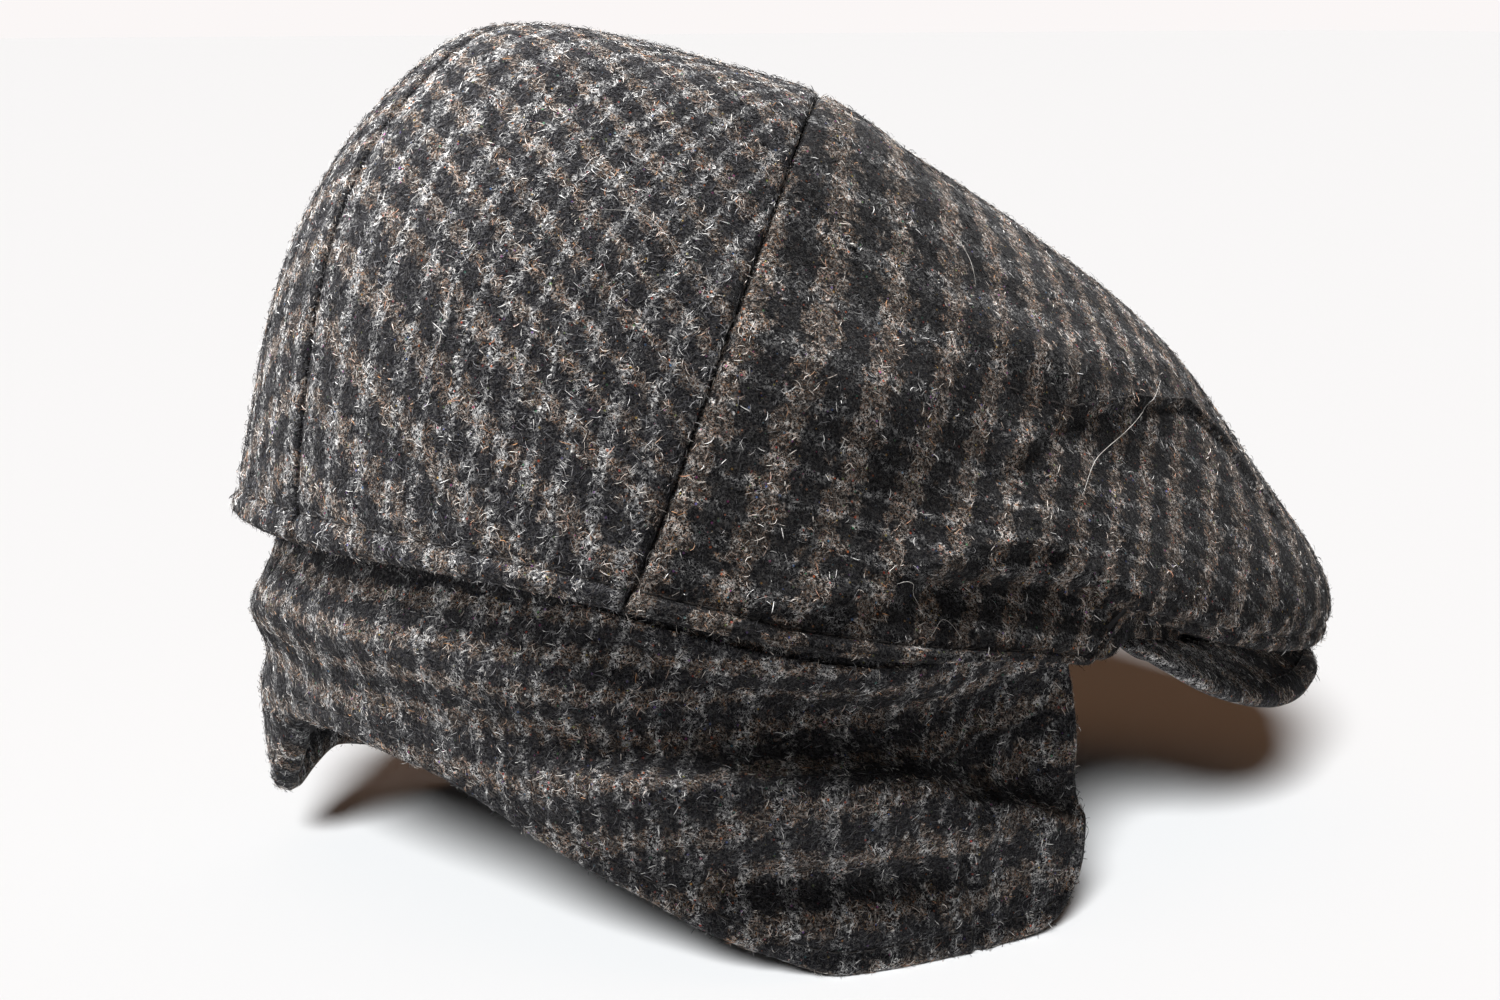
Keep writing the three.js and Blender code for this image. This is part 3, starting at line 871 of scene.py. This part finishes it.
DARK_WOOL = [(0.30, (0.003, 0.003, 0.0038)), (0.50, (0.0095, 0.0095, 0.0118)), (0.72, (0.034, 0.034, 0.041))]
# Near-black colour that the ground is mixed towards for the painted shade.
PAINTED_SHADE_WOOL = (0.0015, 0.0015, 0.0018)
WARM_WOOL = (0.032, 0.026, 0.022)
BROWN_FIBRES = [
    (0.20, (0.14, 0.115, 0.10)), (0.36, (0.34, 0.30, 0.27)), (0.42, (0.60, 0.30, 0.13)),
    (0.46, (0.50, 0.46, 0.42)), (0.58, (0.84, 0.80, 0.74)), (0.64, (0.50, 0.24, 0.14)),
    (0.70, (0.66, 0.61, 0.56)),
]
LIGHT_FIBRES = [(0.25, (0.13, 0.132, 0.14)), (0.45, (0.40, 0.40, 0.405)), (0.62, (0.86, 0.855, 0.84))]
FLECKS = [
    (0.0, (0.80, 0.26, 0.06)), (0.25, (0.70, 0.09, 0.07)), (0.45, (0.75, 0.50, 0.08)),
    (0.60, (0.10, 0.40, 0.16)), (0.75, (0.10, 0.20, 0.70)), (0.88, (0.60, 0.08, 0.36)),
    (1.0, (0.85, 0.36, 0.10)),
]
# How many hairs lie in a brown band, in a light row, where both cross, and everywhere; how
# strongly the whole shows, how much less under the painted shade, and the ground's own brown.
HAIRS = Sizes(brown=0.45, light=0.36, crossing=0.55, least=0.09, gain=1.5, deep=0.45)
GROUND_BROWN = 0.55
# How the hairs' thickness follows noise: the noise's values, then the shares of hairs there.
PATCHES = Sizes(patch=(0.32, 0.62, 0.35, 1.10), worn=(0.30, 0.65, 0.55, 1.15))
HAIR_LAYERS = ((1.1, 3, 0.042), (0.75, 4, 0.05), (0.5, 5, 0.055))    # size, seed, width
BREAKS = Sizes(size=0.8, start=0.42, end=0.52)                       # where the hairs stop
KINDS = (0.35, 0.95)      # between all pale hairs and all brown ones
GRAIN_RELIEF = 1.2        # height of the grain beside that of the hairs
FLECK_LAYERS = ((1.1, 1, 0.86), (0.7, 2, 0.92))                      # size, seed, rarity
FLECK_EDGE = (0.10, 0.30)
FLECK_SHARE = Sizes(least=0.20, check=0.8)


def flecks(finish, place, size, seed, rarity):
    """Rare dots of dyed wool: where they are, and their colours."""
    moved = finish.vector("ADD", place, (seed * 3.1, seed * 5.7, seed * 1.9))
    cells = finish.node("ShaderNodeTexVoronoi", {"Vector": moved, "Scale": 1.0 / size})
    chance = finish.node("ShaderNodeSeparateXYZ", {0: cells.outputs["Color"]}).outputs
    near = finish.ease(cells.outputs["Distance"], *FLECK_EDGE, 1.0, 0.0)
    share = finish.times(near, finish.math("GREATER_THAN", chance[0], rarity))
    return share, finish.ramp(chance[1], FLECKS)


def hair_strength(finish, place, brown, light):
    """How thickly pale and brown hairs lie in the check, less where the cloth is worn."""
    crossing = finish.times(brown, light, HAIRS.crossing)
    single = finish.plus(finish.times(brown, HAIRS.brown), finish.times(light, HAIRS.light))
    worn = finish.ease(finish.noise(place, *WOOL_NOISE.worn), *PATCHES.worn)
    return finish.times(finish.plus(single, crossing), worn)


def hair_lines(finish, place):
    """Layers of curling hairs, each broken here and there."""
    lines = None
    for size, seed, width in HAIR_LAYERS:
        broken = finish.ease(finish.noise(place, BREAKS.size, seed + 10), BREAKS.start, BREAKS.end)
        layer = finish.times(fibre_lines(finish, place, size, seed, width), broken)
        lines = layer if lines is None else finish.math("MAXIMUM", lines, layer)
    return lines


def hair_colour(finish, place, brown, light):
    """Pale hairs in the light rows and brown ones in the brown bands."""
    hue = finish.noise(place, *WOOL_NOISE.hue)
    kind = finish.minus(finish.plus(brown, finish.noise(place, *WOOL_NOISE.kind)), light)
    share = finish.ease(kind, *KINDS)
    return finish.mix(share, finish.ramp(hue, LIGHT_FIBRES), finish.ramp(hue, BROWN_FIBRES))


def wool_material():
    finish = Finish("check_wool")
    place = in_millimetres(finish)
    brown, light, depth = check_masks(finish, place)
    strength = hair_strength(finish, place, brown, light)
    patch = finish.ease(finish.noise(place, *WOOL_NOISE.patch), *PATCHES.patch)
    amount = finish.plus(HAIRS.least, finish.times(strength, patch, HAIRS.gain))
    # Fewer pale and brown hairs show under the painted shade.
    amount = finish.times(amount, finish.minus(1.0, finish.times(depth, HAIRS.deep)))
    lines = hair_lines(finish, place)
    grain = finish.noise(place, *WOOL_NOISE.grain)
    # Painted shade: the ground is darkened towards near black on the parts with weak rows.
    ground = finish.mix(depth, finish.ramp(grain, DARK_WOOL), PAINTED_SHADE_WOOL)
    ground = finish.mix(finish.times(brown, GROUND_BROWN), ground, WARM_WOOL)
    colour = finish.mix(finish.times(lines, amount), ground, hair_colour(finish, place, brown, light))
    for layer in FLECK_LAYERS:
        share, dyed = flecks(finish, place, *layer)
        check_share = finish.plus(FLECK_SHARE.least, finish.times(strength, FLECK_SHARE.check))
        colour = finish.mix(finish.times(share, check_share), colour, dyed)
    height = finish.plus(lines, finish.times(grain, GRAIN_RELIEF))
    return finish.surface({
        "Base Color": colour, "Roughness": 0.95, "Specular IOR Level": 0.08,
        "Sheen Weight": 0.03, "Sheen Roughness": 0.5, "Normal": finish.bump(height, 0.8, 0.3),
    })


DARK_HAIRS = [(0.0, (0.008, 0.008, 0.009)), (0.8, (0.06, 0.06, 0.066)), (1.0, (0.30, 0.30, 0.31))]
# Near-black colour that the loose hairs are mixed towards for the painted shade.
PAINTED_SHADE_HAIRS = (0.004, 0.004, 0.004)
ROW_HAIRS = 0.42          # share of the loose hairs that take the rows' colours


def fibre_material():
    finish = Finish("loose_fibres")
    brown, light, depth = check_masks(finish, in_millimetres(finish))
    first, second, third = split(finish, "strand")
    # The painted shade darkens the dark loose hairs as it does the ground.
    dark = finish.mix(depth, finish.ramp(second, DARK_HAIRS), PAINTED_SHADE_HAIRS)
    warp = finish.mix(finish.math("GREATER_THAN", brown, third), dark, finish.ramp(second, BROWN_FIBRES))
    weft = finish.mix(finish.math("GREATER_THAN", light, third), dark, finish.ramp(second, LIGHT_FIBRES))
    colour = finish.mix(finish.math("GREATER_THAN", first, ROW_HAIRS), weft, warp)
    return finish.surface({"Base Color": colour, "Roughness": 0.85, "Specular IOR Level": 0.12})


def grained(name, size, seed, detail, dark, pale):
    """A finish with a fine grain between two tones: the finish, its grain and its colour."""
    finish = Finish(name)
    grain = finish.noise(in_millimetres(finish), size, seed, detail)
    return finish, grain, finish.ramp(grain, [(0.3, dark), (0.7, pale)])


def lining_material():
    finish, grain, colour = grained("dark_lining", 0.6, 1, 2.0, (0.018, 0.018, 0.02), (0.04, 0.038, 0.04))
    return finish.surface({
        "Base Color": colour, "Roughness": 0.9, "Sheen Weight": 0.2, "Normal": finish.bump(grain, 0.4, 0.2),
    })


def thread_material():
    """Dark sewing thread, with its twist."""
    dark, pale = (0.010, 0.009, 0.009), (0.045, 0.038, 0.034)
    finish, grain, colour = grained("sewing_thread", 0.25, 4, 1.0, dark, pale)
    return finish.surface({"Base Color": colour, "Roughness": 0.6, "Normal": finish.bump(grain, 0.5, 0.1)})


def hair_material():
    finish, _, colour = grained("stray_hair", 3.0, 5, 1.0, (0.42, 0.40, 0.37), (0.80, 0.78, 0.74))
    return finish.surface({"Base Color": colour, "Roughness": 0.5})


def floor_material():
    colour = (0.86, 0.85, 0.845, 1.0)
    return Finish("pale_floor").surface({"Base Color": colour, "Roughness": 0.8, "Specular IOR Level": 0.1})


# ---- loose fibres ----

# Lengths and widths in millimetres, bends and twists in radians.
FIBRE = Sizes(
    length=(0.8, 2.4), bend=1.1, standing=0.12, stand=(0.35, 0.9),
    lie=(0.05, 0.22), width=(0.035, 0.075), twist=0.9, off=0.02, arch=2.3,
)
FIBRE_RINGS = ((0.0, 0.7), (0.35, 1.0), (0.7, 0.8), (1.0, 0.0))    # share of length, of width
FIBRE_CORNERS = 7
STRAIGHT = 0.05           # bend below which a fibre is taken as straight


def scattered_roots(outer, count, rng):
    """Where fibres start: the place, the check there, and outward and sideways directions."""
    points, pattern = outer
    corner = points[:-1, :-1]
    right = points[:-1, 1:] - corner
    down = points[1:, :-1] - corner
    cross = np.cross(down, right)
    area = np.linalg.norm(cross, axis=-1)
    cells = rng.choice(area.size, count, p=(area / area.sum()).ravel())
    row, column = np.unravel_index(cells, area.shape)
    part = rng.random((2, count, 1))
    root = corner[row, column] + right[row, column] * part[0] + down[row, column] * part[1]
    cloth = pattern[row, column] * (1 - part[0]) + pattern[row, column + 1] * part[0]
    cloth = cloth + (pattern[row + 1, column] - pattern[row, column]) * part[1]
    return root, cloth, unit(cross[row, column]), unit(right[row, column])


def curling_fibres(root, normal, flat, rng):
    """Pairs of points along each fibre, and a single one at its tip."""
    each = (len(root), 1)
    side = np.cross(normal, flat)
    angle = rng.random(each) * 2 * np.pi
    heading = flat * np.cos(angle) + side * np.sin(angle)
    beside = np.cross(normal, heading)
    length = rng.uniform(*FIBRE.length, each)
    bend = rng.normal(0.0, FIBRE.bend, each)
    standing = rng.random(each) < FIBRE.standing
    stand = np.where(standing, rng.uniform(*FIBRE.stand, each), rng.uniform(*FIBRE.lie, each))
    width = rng.uniform(*FIBRE.width, each)
    twist = rng.normal(0.0, FIBRE.twist, each)
    straight = np.abs(bend) < STRAIGHT
    safe_bend = np.where(bend == 0, 1.0, bend)
    rings = []
    for share, wide in FIBRE_RINGS:
        turned = bend * share
        swing = np.where(straight, 0.0, (1 - np.cos(turned)) / safe_bend)
        ahead = np.where(straight, share, np.sin(turned) / safe_bend)
        place = root + (heading * ahead + beside * swing) * length
        place = place + normal * (FIBRE.off + stand * math.sin(FIBRE.arch * share))
        along = heading * np.cos(turned) + beside * np.sin(turned)
        across = np.cross(normal, along) * np.cos(twist) + normal * np.sin(twist)
        if wide:
            rings += [place - across * width * wide, place + across * width * wide]
        else:
            rings.append(place)
    return np.stack(rings, 1)


def loose_fibres(name, outer, count, seed, material):
    """Short curling fibres lying on the cloth, some of them standing off it."""
    rng = np.random.default_rng(seed)
    root, cloth, normal, flat = scattered_roots(outer, count, rng)
    verts = curling_fibres(root, normal, flat, rng).reshape(-1, 3) * MM
    verts[:, 2] = np.maximum(verts[:, 2], 0.0)
    start = np.arange(count)[:, None] * FIBRE_CORNERS
    quads = np.concatenate([start + [0, 1, 3, 2], start + [2, 3, 5, 4]], 1).reshape(-1, 4)
    tips = start + [4, 5, 6]
    mesh = bpy.data.meshes.new(name)
    mesh.from_pydata(verts, [], quads.tolist() + tips.tolist())
    for attribute, values in (("cloth", cloth), ("strand", rng.random((count, 3)))):
        keep_vectors(mesh, attribute, np.repeat(values, FIBRE_CORNERS, axis=0))
    mesh.materials.append(material)
    return in_scene(name, mesh)


# ---- stitches and stray hairs ----

STITCH = Sizes(length=2.9, gap=0.9, thick=0.19, end=0.55, sunk=0.10, proud=0.16, rings=5, sides=5)
STITCH_ENDS = Sizes(hem=1, flap=7, peak=8)      # columns left free at each end of a row
PEAK_STITCH = 3.5        # from the peak's rim back to its row of stitches
# Row along the nose's dart: its turns, points, how far above the crease, and the crease's part.
DART_STITCH = Sizes(start=40.0, end=94.0, points=60, above=1.9, part=0.73)


def between(at, knots, points):
    """Places on the straight lines from point to point, the points being at the knots."""
    return np.stack([np.interp(at, knots, column) for column in np.transpose(points)], -1)


def tube_rings(places, outward, radii, sides):
    """Rings of points round a line, one ring to a place."""
    ahead = unit(np.gradient(places, axis=-2))
    beside = np.cross(outward, ahead)
    turns = np.arange(sides) * 2 * np.pi / sides
    circle = beside[..., None, :] * np.cos(turns)[:, None] + outward[..., None, :] * np.sin(turns)[:, None]
    return places[..., None, :] + circle * radii[..., None, None]


def tube_faces(rings, sides, start):
    """Quads between neighbouring rings, and a face to close each end."""
    faces = []
    for ring in range(rings - 1):
        for turn in range(sides):
            low = start + ring * sides
            after = (turn + 1) % sides
            faces.append((low + turn, low + after, low + sides + after, low + sides + turn))
    faces.append(tuple(start + turn for turn in reversed(range(sides))))
    faces.append(tuple(start + (rings - 1) * sides + turn for turn in range(sides)))
    return faces


def add_piece(name, verts, faces, material):
    mesh = bpy.data.meshes.new(name)
    mesh.from_pydata(verts * MM, [], faces)
    for face in mesh.polygons:
        face.use_smooth = True
    mesh.materials.append(material)
    piece = in_scene(name, mesh)
    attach(piece, "root")
    CAP.append(piece)


def tapered(radius, end, share):
    """Radii along a thread, thinner at both ends."""
    return radius * (end + (1 - end) * np.sin(np.pi * share))


def stitch_row(name, lines, material):
    """Running stitches along lines, each line given as points and outward directions."""
    rings, sides = STITCH.rings, STITCH.sides
    share = np.linspace(0.0, 1.0, rings)
    arch = -STITCH.sunk + (STITCH.sunk + STITCH.proud) * np.sin(np.pi * share)
    radii = tapered(STITCH.thick, STITCH.end, share)
    verts = []
    for line, outward in lines:
        walked = along_grid(line, 0)
        starts = np.arange(STITCH.gap, walked[-1] - STITCH.length, STITCH.length + STITCH.gap)
        at = starts[:, None] + share * STITCH.length
        normals = unit(between(at, walked, outward))
        places = between(at, walked, line) + normals * arch[:, None]
        verts.append(tube_rings(places, normals, np.broadcast_to(radii, at.shape), sides).reshape(-1, 3))
    verts = np.concatenate(verts)
    each = rings * sides
    faces = []
    for start in range(0, len(verts), each):
        faces += tube_faces(rings, sides, start)
    add_piece(name, verts, faces, material)


def sheet_row(points, row, ends):
    """A line over a sheet at a grid row for each column, with its outward directions."""
    column = np.arange(points.shape[1])
    low = np.clip(np.floor(row).astype(int), 0, points.shape[0] - 2)
    part = (row - low)[:, None]
    line = points[low, column] * (1 - part) + points[low + 1, column] * part
    outward = unit(np.cross(points[low + 1, column] - points[low, column], np.gradient(line, axis=0)))
    return line[ends:-ends], outward[ends:-ends]


def hem_row(points):
    row = (1.0 - HEM_BAND / PROFILE_LENGTH) * (points.shape[0] - 1)
    return sheet_row(points, np.full(points.shape[1], row), STITCH_ENDS.hem)


def flap_edge_row(points):
    rows = np.arange(points.shape[0])[::-1]
    heights = points[::-1, :, 2]
    row = [np.interp(heights[0, at] + HEM_BAND, heights[:, at], rows) for at in range(points.shape[1])]
    return sheet_row(points, np.array(row), STITCH_ENDS.flap)


def peak_rim_row(points):
    turn = np.linspace(-PEAK.end, PEAK.end, points.shape[1])
    _, _, depth, out, _ = from_table(PEAK_SECTIONS, turn)
    row = (1.0 - PEAK_STITCH / (depth + out)) * (points.shape[0] - 1)
    return sheet_row(points, row, STITCH_ENDS.peak)


def on_crown(turn, down, lift):
    """Points lifted off the crown's cloth, and the outward directions there."""
    outward = crown_normal(turn, down)
    return smooth_crown(turn, down) + outward * (crown_relief(turn, down) + lift)[..., None], outward


def dart_row(hand):
    """The row of stitches along the welt of the nose's dart."""
    turns = np.linspace(DART_STITCH.start, DART_STITCH.end, DART_STITCH.points)
    line = sorted(spot for spot in CREASES[0].line if spot[1] < DART_STITCH.part)
    down = np.interp(turns, *zip(*line))
    return on_crown(hand * turns[::hand], down[::hand] - DART_STITCH.above / PROFILE_LENGTH, 0.0)


HAIR = Sizes(points=41, rounds=120, off=0.1, arch=0.7, end=0.35, sides=4)
# Stray hairs on the crown: points of turn and down, how far the middle stands off, radius.
STRAY_HAIRS = [
    Sizes(path=[(-50, 0.55), (-65, 0.65), (-80, 0.70), (-84, 0.75)], lift=0.9, radius=0.075),
    Sizes(path=[(-116, 0.89), (-114, 0.88), (-112, 0.92)], lift=1.0, radius=0.05),
    Sizes(path=[(-112, 0.95), (-110, 0.91), (-108, 0.95)], lift=1.2, radius=0.05),
    Sizes(path=[(-119, 0.53), (-118, 0.53)], lift=0.3, radius=0.28),
    Sizes(path=[(-96, 0.40), (-92, 0.45), (-93, 0.50)], lift=0.8, radius=0.05),
    Sizes(path=[(-150, 0.62), (-145, 0.60), (-141, 0.64)], lift=0.8, radius=0.05),
]


def stray_hairs(material):
    verts, faces = [], []
    share = np.linspace(0.0, 1.0, HAIR.points)
    for hair in STRAY_HAIRS:
        path = between(share, np.linspace(0.0, 1.0, len(hair.path)), hair.path)
        for _ in range(HAIR.rounds):
            path[1:-1] = (path[:-2] + path[2:]) / 4 + path[1:-1] / 2
        lift = HAIR.off + hair.lift * np.sin(np.pi * share) ** HAIR.arch
        places, outward = on_crown(path[:, 0], path[:, 1], lift)
        radii = tapered(hair.radius, HAIR.end, share)
        faces += tube_faces(len(share), HAIR.sides, len(verts))
        verts += tube_rings(places, outward, radii, HAIR.sides).reshape(-1, 3).tolist()
    add_piece("stray_hairs", np.array(verts), faces, material)


# ---- making the cap ----

WOOL = wool_material()
LINING = lining_material()
FIBRES = fibre_material()

# Node, piece, columns, rows, surface, inside material, slot, loose fibres, wool turned in.
PIECES = [
    ("crown_front", "front_panel", 300, 150, front_panel, LINING, "crown_wool", 37000, 0.0),
    ("crown_rear_right", "rear_panel_right", 96, 120, rear_panel(-1), LINING, "crown_wool", 22000, 0.0),
    ("crown_rear_left", "rear_panel_left", 96, 120, rear_panel(1), LINING, "crown_wool", 20000, 0.0),
    ("crown_front", "nose_facing", 160, 12, nose_facing, WOOL, "crown_wool", 3000, 0.0),
    ("crown_front", "temple_band_right", 26, 16, temple_band(-1), WOOL, "crown_wool", 600, 0.0),
    ("crown_front", "temple_band_left", 26, 16, temple_band(1), WOOL, "crown_wool", 600, 0.0),
    ("peak", "cloth_peak", 180, 36, cloth_peak, WOOL, "peak_wool", 8000, 0.0),
    ("ear_flap", "neck_flap", 300, 90, neck_flap, LINING, "flap_wool", 33000, 0.12),
]
CAP = []
OUTER = {}
for number, (node, name, columns, rows, surface, inside, slot, fibres, turned_in) in enumerate(PIECES):
    piece, outer = padded_piece(name, columns, rows, surface, (WOOL, inside), turned_in)
    OUTER[name] = outer[0]
    fuzz = loose_fibres(name + "_fibres", outer, fibres, number + 1, FIBRES)
    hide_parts(node)
    for made in (piece, fuzz):
        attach(made, "root")
    CAP += [piece, fuzz]

THREAD = thread_material()
CROWN_PANELS = ("front_panel", "rear_panel_right", "rear_panel_left")
crown_rows = [hem_row(OUTER[name]) for name in CROWN_PANELS] + [dart_row(-1), dart_row(1)]
stitch_row("hem_stitches", crown_rows, THREAD)
stitch_row("flap_stitches", [flap_edge_row(OUTER["neck_flap"])], THREAD)
stitch_row("peak_stitches", [peak_rim_row(OUTER["cloth_peak"])], THREAD)
stray_hairs(hair_material())

# ---- floor and light ----

FLOOR_REACH = 16.0
# What the camera sees around the floor, and the dim even light on the cap.
STUDIO = Sizes(seen=(0.965, 0.93, 0.925, 1.0), around=(1.0, 0.86, 0.76, 1.0), strength=0.015)
# Suns on the cap: name, where the light comes from, strength, spread in degrees, colour.
CAP_SUNS = [
    ("ceiling", (0.1, 0.2, 0.97), 4.4, 26.0, (1.0, 0.985, 0.98)),
    ("left_window", (0.0, 0.5, 0.87), 2.5, 30.0, (1.0, 0.985, 0.98)),
    ("back_ceiling", (-0.40, 0.25, 0.88), 5.2, 24.0, (1.0, 0.99, 0.985)),
    ("back_window", (-0.7, 0.5, 0.5), 2.6, 30.0, (1.0, 0.99, 0.985)),
    ("front_window", (0.7, 0.7, 0.5), 2.0, 50.0, (1.0, 0.98, 0.965)),
]
# Suns on the floor: the same, and whether the cap throws a shadow in their light.
FLOOR_SUNS = [
    ("table_light", (-0.60, -0.65, 0.47), 7.35, 14.0, (0.97, 1.0, 1.02), True),
    ("table_glow", (0.0, 0.0, 1.0), 0.21, 90.0, (1.0, 0.49, 0.23), False),
]


def add_floor():
    bm = bmesh.new()
    bmesh.ops.create_grid(bm, x_segments=1, y_segments=1, size=FLOOR_REACH)
    mesh = bpy.data.meshes.new("floor")
    bm.to_mesh(mesh)
    bm.free()
    mesh.materials.append(floor_material())
    floor = in_scene("floor", mesh)
    return floor


def add_sun(name, direction, strength, spread, colour, shadows, lit):
    """Even soft light that comes from a direction and falls on the given pieces."""
    data = bpy.data.lights.new(name, "SUN")
    data.energy = strength
    data.angle = math.radians(spread)
    data.color = colour
    data.use_shadow = shadows
    lamp = in_scene(name, data)
    lamp.rotation_euler = Vector(direction).to_track_quat("Z", "Y").to_euler()
    reached = bpy.data.collections.new(name + "_reach")
    for piece in lit:
        reached.objects.link(piece)
    lamp.light_linking.receiver_collection = reached


def add_studio():
    """Pale walls to the camera, and a dimmer even light on the cap."""
    world = bpy.data.worlds.new("studio")
    bpy.context.scene.world = world
    world.use_nodes = True
    nodes = world.node_tree.nodes
    links = world.node_tree.links
    seen = nodes.new("ShaderNodeBackground")
    seen.inputs["Color"].default_value = STUDIO.seen
    around = nodes["Background"]
    around.inputs["Color"].default_value = STUDIO.around
    around.inputs["Strength"].default_value = STUDIO.strength
    choose = nodes.new("ShaderNodeMixShader")
    links.new(nodes.new("ShaderNodeLightPath").outputs["Is Camera Ray"], choose.inputs[0])
    links.new(around.outputs[0], choose.inputs[1])
    links.new(seen.outputs[0], choose.inputs[2])
    links.new(choose.outputs[0], nodes["World Output"].inputs["Surface"])


FLOOR = add_floor()
for sun in CAP_SUNS:
    add_sun(*sun, True, CAP)
for sun in FLOOR_SUNS:
    add_sun(*sun, [FLOOR])
add_studio()
bpy.context.scene.view_settings.view_transform = "Standard"
